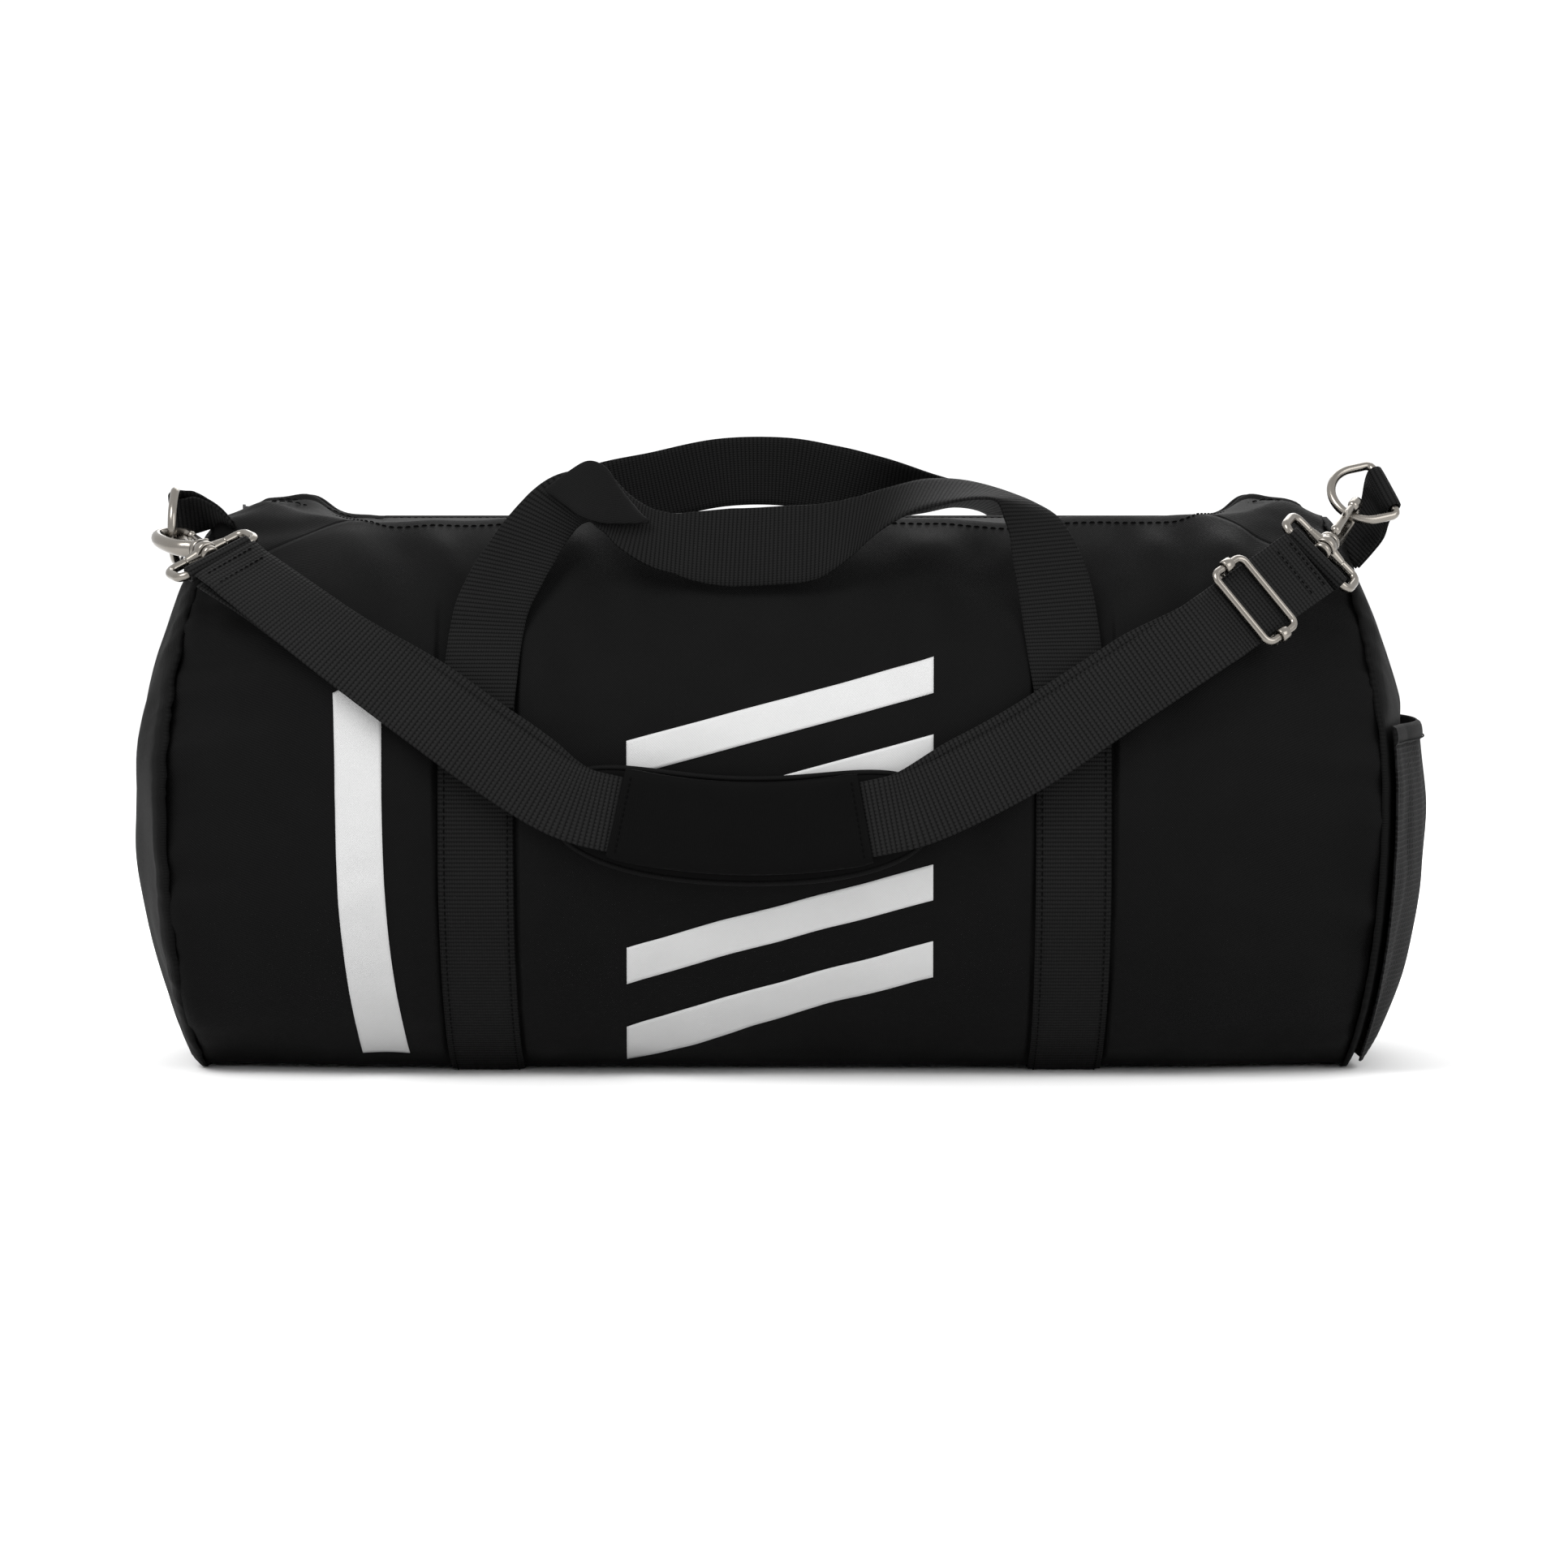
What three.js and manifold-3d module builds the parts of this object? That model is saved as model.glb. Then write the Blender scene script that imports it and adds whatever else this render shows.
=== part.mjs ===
// Barrel duffel bag, millimetres, +Z up, +X along the bag to the end that has the
// mesh pocket, -Y the side the shoulder strap hangs on. Origin: middle of the flat
// underside, on the surface the bag stands on.
import * as THREE from 'three';
import { mergeVertices } from 'three/addons/utils/BufferGeometryUtils.js';
import Module from 'manifold-3d';

const wasm = await Module();
wasm.setup();

// ---------------------------------------------------------------- dimensions
const HEIGHT = 242.8;            // body height over the flat top
const MID_Z = 123;             // height of the widest line
const HALF_DEPTH = 137;        // half of the front-to-back depth
const SEMI_Z = 134;            // vertical semi-axis before the flats are cut
const SHELL = 3;               // padded fabric wall
const SEAM_X = 264;            // left end seam at mid height
const RIGHT_SEAM_IN = 8;       // the right end seam sits this much further in
const LEFT_DOME = 287;         // outermost point of the left end
const RIGHT_DOME = 279.5;        // outermost point of the bare right end
const POCKET_DOME = 287;     // outermost point of the mesh pocket
const DOME_Z = 112;            // height of the domes' crown
const LIP_Y = 62;              // half width of the zipped mouth between its fold lines
const LIP_X = 178;             // half length of the flaps that fold open
const CHAIN_Z = 242.2;         // middle plane of the zip chain
const CHAIN_END = 227.5;       // half length of the zip chain
const BAND_X = [-129.5, 123.5];// middles of the two webbing bands
const WEB_W = 32;              // webbing width
const BAND_T = 1.4;            // band thickness
const HANDLE_T = 2.0;          // handle webbing thickness
const BAND_TOP_Z = 196;        // height where bands leave the body and become handles
const STRAP_T = 1.6;           // shoulder strap webbing thickness
const RING_R = 2.0;            // D-ring wire radius
const RING_HALF = 14.5;        // D-ring half width, wire centre
const RING_ARC_A = 10;         // distance from the bar to the D's arc centre
const EYE_R = 2.0;             // hook loop wire radius
const EYE_HALF = 19.5;         // hook loop half width, wire centre
const EYE_LEN = 13;            // hook loop length, wire centre to wire centre
const ADJ_R = 1.75;            // adjuster wire radius
const ADJ_HALF_W = 18.8;       // adjuster half width, wire centre
const ADJ_HALF_L = 9.3;        // adjuster half length, wire centre
const PAD_R = 260;             // radius of the strap's curve under the pad
const PAD_CX = -12, PAD_CZ = 371;
const PAD_Y = -150;            // strap plane under the pad

// ------------------------------------------------------------------- colours
const cloth = 0x0b0b0c, webbing = 0x131314, nickel = 0xa9a49c, meshBlack = 0x060606, zipBlack = 0x0d0d0e;
const mat = (color, roughness = 0.85, metalness = 0) => new THREE.MeshStandardMaterial({ color, roughness, metalness });

// ------------------------------------------------------------------- helpers
const V = (x, y, z) => new THREE.Vector3(x, y, z);
const spow = (v, p) => Math.sign(v) * Math.pow(Math.abs(v), p);
const clamp = (v, a, b) => Math.min(b, Math.max(a, v));
const smooth = (t) => { const c = clamp(t, 0, 1); return c * c * (3 - 2 * c); };
const lerp = (a, b, t) => a + (b - a) * t;
const bump = (u) => (Math.abs(u) < 1 ? (1 - u * u) ** 2 : 0);
const table = (arr, f) => { // f in 0..1 over the entries of arr
  const s = clamp(f, 0, 1) * (arr.length - 1), i = Math.min(arr.length - 2, Math.floor(s));
  return lerp(arr[i], arr[i + 1], s - i);
};

// joins equal vertices, drops empty triangles and turns the faces outward
function tidy(geo) {
  let g = geo.index ? geo.clone() : mergeVertices(geo.clone());
  for (const k of Object.keys(g.attributes)) if (k !== 'position') g.deleteAttribute(k);
  g = mergeVertices(g, 1e-4);
  const p = g.attributes.position, src = g.index.array, out = [];
  let vol = 0;
  const a = V(), b = V(), c = V();
  for (let i = 0; i < src.length; i += 3) {
    const [i0, i1, i2] = [src[i], src[i + 1], src[i + 2]];
    if (i0 === i1 || i1 === i2 || i0 === i2) continue;
    out.push(i0, i1, i2);
    a.fromBufferAttribute(p, i0); b.fromBufferAttribute(p, i1); c.fromBufferAttribute(p, i2);
    vol += a.dot(b.cross(c)) / 6;
  }
  if (vol < 0) for (let i = 0; i < out.length; i += 3) { const t = out[i + 1]; out[i + 1] = out[i + 2]; out[i + 2] = t; }
  g.setIndex(out);
  g.computeVertexNormals();
  return g;
}
function mapGeo(geo, fn) {
  const p = geo.attributes.position, v = V();
  for (let i = 0; i < p.count; i++) {
    v.fromBufferAttribute(p, i);
    const q = fn(v.clone());
    p.setXYZ(i, q.x, q.y, q.z);
  }
  return tidy(geo);
}
function solid(geo) {
  const g = tidy(geo);
  return new wasm.Manifold(new wasm.Mesh({ numProp: 3, vertProperties: new Float32Array(g.attributes.position.array), triVerts: new Uint32Array(g.index.array) }));
}
function fromSolid(m) {
  const mesh = m.getMesh(), g = new THREE.BufferGeometry();
  g.setAttribute('position', new THREE.BufferAttribute(new Float32Array(mesh.vertProperties), 3));
  g.setIndex(Array.from(mesh.triVerts));
  return tidy(g);
}
// moves a geometry from local axes (X to ax, Y to ay, Z to az) about an origin
function place(geo, o, ax, ay, az) {
  const m = new THREE.Matrix4().makeBasis(ax, ay, az).setPosition(o);
  const g = geo.clone();
  g.applyMatrix4(m);
  return tidy(g);
}

const bag = new THREE.Group();
function piece(name, geo, material, group = bag) {
  const m = new THREE.Mesh(geo, material);
  m.name = name;
  group.add(m);
  return m;
}

// ------------------------------------------------------- the body's outer form
// half depth, top and bottom semi-axes and squareness of the section at x
function section(x) {
  const t = smooth((Math.abs(x) - 172) / 88);
  return { a: HALF_DEPTH - 16 * t, top: SEMI_Z - 12 * t, low: SEMI_Z - 1 * t, n: 2.2 - 0.54 * t, nl: 2.2 };
}
// the gathered fabric beside each end of the zip
const hump = (x, y, z) => (z > MID_Z ? 11 * bump((Math.abs(x) - 229) / 40) * Math.exp(-((y / 44) ** 2)) * ((z - MID_Z) / MID_Z) ** 4 : 0);
// a point on the section at x: angle 0 front, 90 bottom, 180 back, 270 top
function outline(x, ang, inset = 0) {
  const s = section(x), c = Math.cos(ang), n = Math.sin(ang);
  const semi = (n > 0 ? s.low : s.top) - inset, e = n > 0 ? s.nl : s.n;
  const y = -(s.a - inset) * spow(c, 2 / e);
  let z = MID_Z - semi * spow(n, 2 / e);
  z = clamp(z, inset, HEIGHT - inset);
  return { y, z: z + hump(x, y, z) };
}
// half depth of the body at x and height z
function depthAt(x, z) {
  const s = section(x), semi = z < MID_Z ? s.low : s.top, e = z < MID_Z ? s.nl : s.n;
  return s.a * Math.pow(Math.max(0, 1 - Math.pow(Math.abs(z - MID_Z) / semi, e)), 1 / e);
}
// height of the body's top at x, y
function topAt(x, y) {
  const s = section(x);
  const z = Math.min(HEIGHT, MID_Z + s.top * Math.pow(Math.max(0, 1 - Math.pow(Math.abs(y) / s.a, s.n)), 1 / s.n));
  return z + hump(x, y, z);
}
// x of the end seam at height z, and the body's x stretched to it
const seamAt = (z, side = -1) => SEAM_X - (side > 0 ? RIGHT_SEAM_IN : 0) - (z > MID_Z ? 14 * ((z - MID_Z) / MID_Z) ** 2 : 8 * ((MID_Z - z) / MID_Z) ** 2);
const stretch = (x, z) => { const ax = Math.abs(x); return ax <= 180 ? x : Math.sign(x) * (180 + (ax - 180) * (seamAt(z, x) - 180) / (SEAM_X - 180)); };

// ------------------------------------------------------------- wraparound panel
{
  const cols = [];
  const end = [SEAM_X - 0.2, 253, 241, 229, 215, 198, 178];
  for (const x of end) cols.push([-x, 0]);
  const groove = (xm) => { cols.push([xm - 16.7, 0], [xm - 16.5, 1], [xm + 16.5, 1], [xm + 16.7, 0]); };
  groove(BAND_X[0]);
  for (const x of [-60, 0, 55]) cols.push([x, 0]);
  groove(BAND_X[1]);
  for (const x of end.slice().reverse()) cols.push([x, 0]);
  const NX = cols.length - 1, NU = 26;
  const g = new THREE.BoxGeometry(1, 1, 1, NX, NU, 1);
  const geo = mapGeo(g, (v) => {
    const [x0, gr] = cols[Math.round((v.x + 0.5) * NX)];
    const s = section(x0);
    const inset = v.z > 0 ? (gr ? BAND_T + 1.1 : 0) : SHELL + (gr ? 1.3 : 0);
    const start = -Math.acos(Math.pow((LIP_Y + 0.4) / (s.a - inset), s.n / 2));
    const ang = lerp(Math.PI - start, start, v.y + 0.5);
    const o = outline(x0, ang, inset);
    const zForX = outline(x0, ang, 0).z;
    return V(stretch(x0, zForX), o.y, o.z);
  });
  piece('main_panel', geo, mat(cloth, 0.9));
}

// --------------------------------------------- fabric facings beyond the flaps
function zipFacing(name, side) {
  const wall = 180 + (CHAIN_END + 3.2 - 180) * (SEAM_X - 180) / (seamAt(HEIGHT, side) - 180); // where the chain's trough ends
  const xs = [LIP_X + 0.5, 198, 215, 229, wall, wall + 0.7, 253, SEAM_X - 0.2];
  const ys = [-LIP_Y, -46, -30, -17, -12.5, -9.5, 9.5, 12.5, 17, 30, 46, LIP_Y];
  const NX = xs.length - 1, NY = ys.length - 1;
  const geo = mapGeo(new THREE.BoxGeometry(1, 1, 1, NX, NY, 1), (v) => {
    const fx = side > 0 ? v.x + 0.5 : 0.5 - v.x;
    const x = xs[Math.round(fx * NX)], y = ys[Math.round((v.y + 0.5) * NY)];
    let z = topAt(x, y);
    const k = clamp((Math.abs(y) - 9.5) / 3, 0, 1);
    z = lerp(Math.min(z, x < wall + 0.3 ? HEIGHT - 4.4 : HEIGHT + 1.3), z, k);
    const sx = stretch(side * x, Math.min(topAt(x, y), HEIGHT));
    return V(sx, y, z - (v.z > 0 ? 0 : SHELL));
  });
  piece(name, geo, mat(cloth, 0.9));
}
zipFacing('left_zip_facing', -1);
zipFacing('right_zip_facing', 1);

// ------------------------------------------------------------------ end panels
const domeX = (dome, r, zEdge, side) => (dome - SHELL) - (dome - SHELL - (seamAt(zEdge, side) + 0.2)) * Math.pow(r, 2.2);
function endPanel(name, side, dome) {
  const rs = [0, 0.3, 0.56, 0.8, 0.93, 1];
  const pts = [];
  for (const r of rs) pts.push(new THREE.Vector2(r, 0));
  for (const r of rs.slice().reverse()) pts.push(new THREE.Vector2(r, 1));
  const geo = mapGeo(new THREE.LatheGeometry(pts, 32), (v) => {
    const r = Math.hypot(v.x, v.z), ang = Math.atan2(v.z, v.x);
    const o = outline(SEAM_X, ang, 0);
    const x = domeX(dome, r, o.z, side) + (v.y > 0.5 ? SHELL : 0);
    return V(side * x, o.y * r, DOME_Z + (o.z - DOME_Z) * r);
  });
  piece(name, geo, mat(cloth, 0.9));
}
endPanel('left_end_panel', -1, LEFT_DOME);
endPanel('right_end_panel', 1, RIGHT_DOME);

// rim radius of the end at a direction from the crown, for points given by y and z
const RIM = [];
for (let i = 0; i <= 720; i++) {
  const o = outline(SEAM_X, (i / 720) * Math.PI * 2, 0);
  RIM.push([Math.atan2(o.z - DOME_Z, o.y), Math.hypot(o.y, o.z - DOME_Z), o.z]);
}
function rimAt(y, z) {
  const a = Math.atan2(z - DOME_Z, y);
  let best = RIM[0], d = 9;
  for (const q of RIM) { const e = Math.abs(Math.atan2(Math.sin(q[0] - a), Math.cos(q[0] - a))); if (e < d) { d = e; best = q; } }
  return { r: Math.hypot(y, z - DOME_Z) / best[1], zEdge: best[2] };
}
// outer face of the right end, and the inner face of the mesh in front of it
function pocketInner(y, z) {
  const q = rimAt(y, z);
  const bare = domeX(RIGHT_DOME, q.r, q.zEdge, 1) + SHELL;
  return Math.max(bare + 1.6, POCKET_DOME - 1.2 - 32 * Math.pow(q.r, 2.6));
}
function pocketPiece(name, z0, z1, nz, t, material) {
  const geo = mapGeo(new THREE.BoxGeometry(1, 1, 1, 1, 14, nz), (v) => {
    const z = lerp(z0, z1, v.z + 0.5);
    const half = depthAt(SEAM_X, z) * 0.985;
    const y = half * Math.sin(v.y * Math.PI);
    return V(pocketInner(y, z) + (v.x > 0 ? t : 0), y, z);
  });
  piece(name, geo, material);
}
pocketPiece('mesh_pocket_panel', 3.5, 144, 7, 1.2, mat(meshBlack, 0.95));
pocketPiece('mesh_pocket_binding', 144.4, 153, 1, 2.2, mat(webbing, 0.8));

// --------------------------------------------------- bound seams inside the ends
function closedTube(points, r, nRad, centre) {
  const n = points.length;
  return mapGeo(new THREE.TorusGeometry(1, 0.25, nRad, n), (v) => {
    const u = Math.atan2(v.y, v.x), i = ((Math.round((u / (2 * Math.PI)) * n) % n) + n) % n;
    const ca = (Math.hypot(v.x, v.y) - 1) / 0.25, sa = v.z / 0.25;
    const p = points[i], t = points[(i + 1) % n].clone().sub(points[(i + n - 1) % n]).normalize();
    const nr = p.clone().sub(centre); nr.addScaledVector(t, -nr.dot(t)).normalize();
    const b = t.clone().cross(nr);
    return p.clone().addScaledVector(nr, r * ca).addScaledVector(b, r * sa);
  });
}
function seamBinding(name, side) {
  const pts = [];
  for (let i = 0; i < 30; i++) {
    const ang = (i / 30) * Math.PI * 2;
    const s = section(SEAM_X), inset = SHELL + 4.3;
    const o = outline(SEAM_X, ang, inset), y = o.y, z = o.z;
    pts.push(V(side * (seamAt(z, side) - 7), y, z));
  }
  piece(name, closedTube(pts, 2.2, 6, V(side * 258, 0, MID_Z)), mat(webbing, 0.8));
}
seamBinding('left_seam_binding', -1);
seamBinding('right_seam_binding', 1);

// ------------------------------------------------------------ folding mouth flaps
function flap(name, side) {
  const g = new THREE.BoxGeometry(2 * LIP_X, LIP_Y - 0.4 - 14.3, 3, 8, 1, 1);
  g.translate(0, side * ((LIP_Y - 0.4 + 14.3) / 2), HEIGHT - 1.5);
  piece(name, tidy(g), mat(cloth, 0.9));
}
flap('front_flap', -1);
flap('back_flap', 1);
function zipTape(name, side) {
  const g = new THREE.BoxGeometry(2 * LIP_X, 10.2, 0.9, 8, 1, 1);
  g.translate(0, side * (3.8 + 5.1), CHAIN_Z);
  piece(name, tidy(g), mat(zipBlack, 0.8));
}
zipTape('zip_tape_front', -1);
zipTape('zip_tape_back', 1);
function zipTeeth(name, side) {
  const g = new THREE.BoxGeometry(2 * LIP_X, 2.8, 2.4, 8, 1, 1);
  g.translate(0, side * (0.7 + 1.4), CHAIN_Z);
  piece(name, tidy(g), mat(zipBlack, 0.45));
}
zipTeeth('zip_teeth_front', -1);
zipTeeth('zip_teeth_back', 1);
// the fixed ends of the chain: tape, both rows of teeth and the slit between them
function zipEnd(name, side) {
  const x0 = LIP_X + 0.5, len = CHAIN_END + 2.6 - x0, mid = side * (x0 + len / 2);
  const tape = new THREE.BoxGeometry(len, 18.2, 0.9); tape.translate(mid, 0, CHAIN_Z);
  const teeth = new THREE.BoxGeometry(len - 4, 7, 2.4); teeth.translate(mid - side * 2, 0, CHAIN_Z);
  const stop = new THREE.BoxGeometry(2.2, 8, 3.2); stop.translate(side * (CHAIN_END - 0.6), 0, CHAIN_Z);
  const slit = new THREE.BoxGeometry(len, 1.4, 9); slit.translate(mid - side * 5.2, 0, CHAIN_Z);
  piece(name, fromSolid(solid(tape).add(solid(teeth)).add(solid(stop)).subtract(solid(slit))), mat(zipBlack, 0.6));
}
zipEnd('left_zip_end', -1);
zipEnd('right_zip_end', 1);

// --------------------------------------------------------------- slider and pull
const SLIDER_X = -215;
{
  const top = new THREE.BoxGeometry(15, 11, 1.1); top.translate(SLIDER_X, 0, CHAIN_Z + 2.2);
  const low = new THREE.BoxGeometry(15, 10, 1.1); low.translate(SLIDER_X, 0, CHAIN_Z - 2.2);
  const post = new THREE.BoxGeometry(5, 0.8, 4.6); post.translate(SLIDER_X, 0, CHAIN_Z);
  const legs = [-3.4, 3.4].map((y) => { const b = new THREE.BoxGeometry(4, 1.6, 3.9); b.translate(SLIDER_X, y, CHAIN_Z + 4.5); return solid(b); });
  const bar = new THREE.CylinderGeometry(0.9, 0.9, 7.6, 10); bar.translate(SLIDER_X, 0, CHAIN_Z + 5.3);
  let s = solid(top).add(solid(low)).add(solid(post)).add(legs[0]).add(legs[1]).add(solid(bar));
  piece('zip_slider', fromSolid(s), mat(0x1a1a1b, 0.4, 0.8));
  const sh = new THREE.Shape();
  sh.moveTo(1.9, -2.2); sh.lineTo(1.9, 2.2); sh.lineTo(-10, 2.2); sh.lineTo(-13, 3.6); sh.lineTo(-27, 3.0); sh.lineTo(-28.5, 1.6); sh.lineTo(-28.5, -1.6); sh.lineTo(-27, -3.0); sh.lineTo(-13, -3.6); sh.lineTo(-10, -2.2); sh.lineTo(1.9, -2.2);
  const g = new THREE.ExtrudeGeometry(sh, { depth: 2.8, bevelEnabled: false }); g.translate(SLIDER_X, 0, CHAIN_Z + 5.3 - 1.4);
  const eye = new THREE.CylinderGeometry(1.15, 1.15, 9, 12); eye.translate(SLIDER_X, 0, CHAIN_Z + 5.3);
  const thin = new THREE.BoxGeometry(24, 9, 2); thin.translate(SLIDER_X - 15.5, 0, CHAIN_Z + 5.3 + 1.6);
  piece('zip_puller', fromSolid(solid(g).subtract(solid(eye)).subtract(solid(thin))), mat(0x1a1a1b, 0.4, 0.8));
}

// ------------------------------------------------------------------ webbing bands
const bandTop = Math.asin(Math.pow((BAND_TOP_Z - MID_Z) / SEMI_Z, 1.1));
BAND_X.forEach((xm, i) => {
  const geo = mapGeo(new THREE.BoxGeometry(1, 1, 1, 1, 28, 1), (v) => {
    const ang = lerp(Math.PI + bandTop, -bandTop, v.y + 0.5);
    const o = outline(xm, ang, v.z > 0 ? 0 : BAND_T);
    return V(xm + v.x * WEB_W, o.y, o.z);
  });
  piece(i ? 'right_band' : 'left_band', geo, mat(webbing, 0.8));
});

// --------------------------------------------------- flat webbing along a 3-D path
// keys: [x, y, z, nx, ny, nz]; n is the side that faces out
class Strip {
  constructor(keys) {
    this.p = new THREE.CatmullRomCurve3(keys.map((k) => V(k[0], k[1], k[2])), false, 'centripetal');
    this.q = new THREE.CatmullRomCurve3(keys.map((k) => V(k[3], k[4], k[5]).normalize()), false, 'centripetal');
  }
  frame(u) {
    const c = this.p.getPoint(u), e = 1e-3;
    const t = this.p.getPoint(Math.min(1, u + e)).sub(this.p.getPoint(Math.max(0, u - e))).normalize();
    const n0 = this.q.getPoint(u).normalize();
    const w = n0.clone().cross(t).normalize();
    const n = t.clone().cross(w).normalize();
    return { c, t, w, n };
  }
  geo(width, thick, steps, { from = 0, to = 1, offN = 0, offW = 0, widthAt = null, us = null, across = 1 } = {}) {
    return mapGeo(new THREE.BoxGeometry(1, 1, 1, steps, across, 1), (v) => {
      const f = v.x + 0.5, u = us ? us[Math.round(f * steps)] : lerp(from, to, f), k = this.frame(u);
      const w = widthAt ? widthAt(f) : width;
      return k.c.clone().addScaledVector(k.w, v.y * w + offW).addScaledVector(k.n, v.z * thick + (typeof offN === 'function' ? offN(u) : offN));
    });
  }
}

// -------------------------------------------------------------------- carry handles
const yTop = depthAt(0, BAND_TOP_Z) + 0.4;
const frontHandle = new Strip([
  [BAND_X[0], -yTop, BAND_TOP_Z + 1.7, 0, -0.86, 0.5],
  [BAND_X[0] + 0.8, -(yTop - 3.6), 204, 0, -0.9, 0.42],
  [BAND_X[0] + 9, -114, 224, 0, -0.96, 0.28],
  [BAND_X[0] + 25, -109, 243, 0, -0.97, 0.22],
  [-82, -106, 251, 0, -0.97, 0.20],
  [-56, -108, 243, 0, -0.97, 0.15],
  [-27, -111, 232, 0, -0.98, 0.12],
  [0, -112, 229, 0, -0.98, 0.10],
  [28, -111, 231, 0, -0.98, 0.12],
  [56, -108, 240, 0, -0.97, 0.15],
  [80, -106, 247, 0, -0.97, 0.20],
  [BAND_X[1] - 22, -109, 240, 0, -0.97, 0.22],
  [BAND_X[1] - 7, -114, 223, 0, -0.96, 0.28],
  [BAND_X[1] - 0.5, -(yTop - 3.6), 204, 0, -0.9, 0.42],
  [BAND_X[1], -yTop, BAND_TOP_Z + 1.7, 0, -0.86, 0.5],
]);
piece('front_handle', frontHandle.geo(WEB_W, HANDLE_T, 44), mat(webbing, 0.8));
const backHandle = new Strip([
  [BAND_X[0], yTop, BAND_TOP_Z + 1.7, 0, -0.86, -0.5],
  [BAND_X[0] + 0.8, yTop - 3.6, 204, 0, -0.9, -0.42],
  [BAND_X[0] + 6, 113.5, 219, 0, -0.95, -0.3],
  [BAND_X[0] + 16, 106, 236, 0, -0.97, -0.22],
  [BAND_X[0] + 38, 98, 254, 0, -0.99, -0.12],
  [-58, 94, 263, 0, -1, -0.05],
  [-28, 92, 269, 0, -1, 0],
  [2, 92, 270, 0, -1, 0],
  [34, 92, 266, 0, -1, 0],
  [64, 94, 259, 0, -1, -0.05],
  [BAND_X[1] - 32, 98, 250, 0, -0.99, -0.12],
  [BAND_X[1] - 12, 106, 232, 0, -0.97, -0.22],
  [BAND_X[1] - 5, 113.5, 217, 0, -0.95, -0.3],
  [BAND_X[1] - 0.5, yTop - 3.6, 204, 0, -0.9, -0.42],
  [BAND_X[1], yTop, BAND_TOP_Z + 1.7, 0, -0.86, -0.5],
]);
piece('back_handle', backHandle.geo(WEB_W, HANDLE_T, 42), mat(webbing, 0.8));

// ----------------------------------------------------------------- shoulder strap
// outer layer: from the left hook's loop, through the pad, to the right hook's loop
const outN = (x, z) => { const e = 2, d = (depthAt(x, z + e) - depthAt(x, z - e)) / (2 * e); return V(0, -1, -d).normalize(); };
const L_EYE = V(-243, -91.5, 224.5), R_EYE = V(231, -95, 226);
const strapKeys = [];
const lN = V(-0.07, -0.62, 0.78).normalize();
const lT = V(0.676, -0.604, -0.423).normalize();
const lW = lN.clone().cross(lT).normalize();
{
  const s = L_EYE.clone().addScaledVector(lT, EYE_R + 3.0).addScaledVector(lN, EYE_R + 0.3 + STRAP_T / 2);
  strapKeys.push([s.x, s.y, s.z, lN.x, lN.y, lN.z]);
  const s2 = L_EYE.clone().addScaledVector(lT, 20).addScaledVector(lN, 2.2);
  strapKeys.push([s2.x, s2.y, s2.z, lN.x, lN.y, lN.z]);
}
const put = (x, z, off, tilt = 1) => { const n = outN(x, z); n.z *= tilt; n.normalize(); strapKeys.push([x, -(depthAt(x, z) + off), z, n.x, n.y, n.z]); };
put(-188, 189, 12);
put(-150, 162, 11);
put(-122, 142, 11, 0.8);
for (const deg of [-17.5, -12, -6, 0, 6, 12, 15.5]) {
  const a = (deg * Math.PI) / 180;
  strapKeys.push([PAD_CX + PAD_R * Math.sin(a), PAD_Y, PAD_CZ - PAD_R * Math.cos(a), 0, -1, 0.02]);
}
put(98, 140, 11, 0.8);
put(140, 167, 11);
const rN = V(0.38, -0.80, 0.47).normalize();
const R_END = R_EYE.clone(), R_FROM = V(180, -138, 193.5);
const rT = R_END.clone().sub(R_FROM).normalize();
const rW = rN.clone().cross(rT).normalize();
const rNn = rT.clone().cross(rW).normalize();
strapKeys.push([R_FROM.x, R_FROM.y, R_FROM.z, rNn.x, rNn.y, rNn.z]);
for (const d of [12, 24, 36, 48, 60]) { const p = R_FROM.clone().addScaledVector(rT, d); strapKeys.push([p.x, p.y, p.z, rNn.x, rNn.y, rNn.z]); }
const R_STOP = R_FROM.distanceTo(R_END) - (EYE_R + 4.8);
{ const p = R_FROM.clone().addScaledVector(rT, R_STOP); strapKeys.push([p.x, p.y, p.z, rNn.x, rNn.y, rNn.z]); }
const strap = new Strip(strapKeys);
const NK = strapKeys.length - 1;
piece('strap_webbing', strap.geo(WEB_W, STRAP_T, 66, { across: 2 }), mat(webbing, 0.8));
const rEye = R_END.clone().addScaledVector(rNn, -(EYE_R + 0.3 + STRAP_T / 2));

// adjuster position along the straight run
const ADJ_D = 28;
const adjO = R_FROM.clone().addScaledVector(rT, ADJ_D);
// return layer, behind the outer one, from the left loop to the adjuster's bar
{
  const i0 = NK - 6, uStop = (i0 + (ADJ_D - 3.9) / 12) / NK, far = 2 * (EYE_R + 0.3 + STRAP_T / 2);
  const offN = (u) => -lerp(far, STRAP_T + 0.7, smooth((u * NK) / 3.2));
  const us = [];
  for (let i = 0; i / 66 < uStop - 0.004; i++) us.push(i / 66);
  us.push(uStop);
  piece('strap_return_layer', strap.geo(WEB_W, STRAP_T, us.length - 1, { offN, us, across: 2 }), mat(webbing, 0.8));
}
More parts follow.
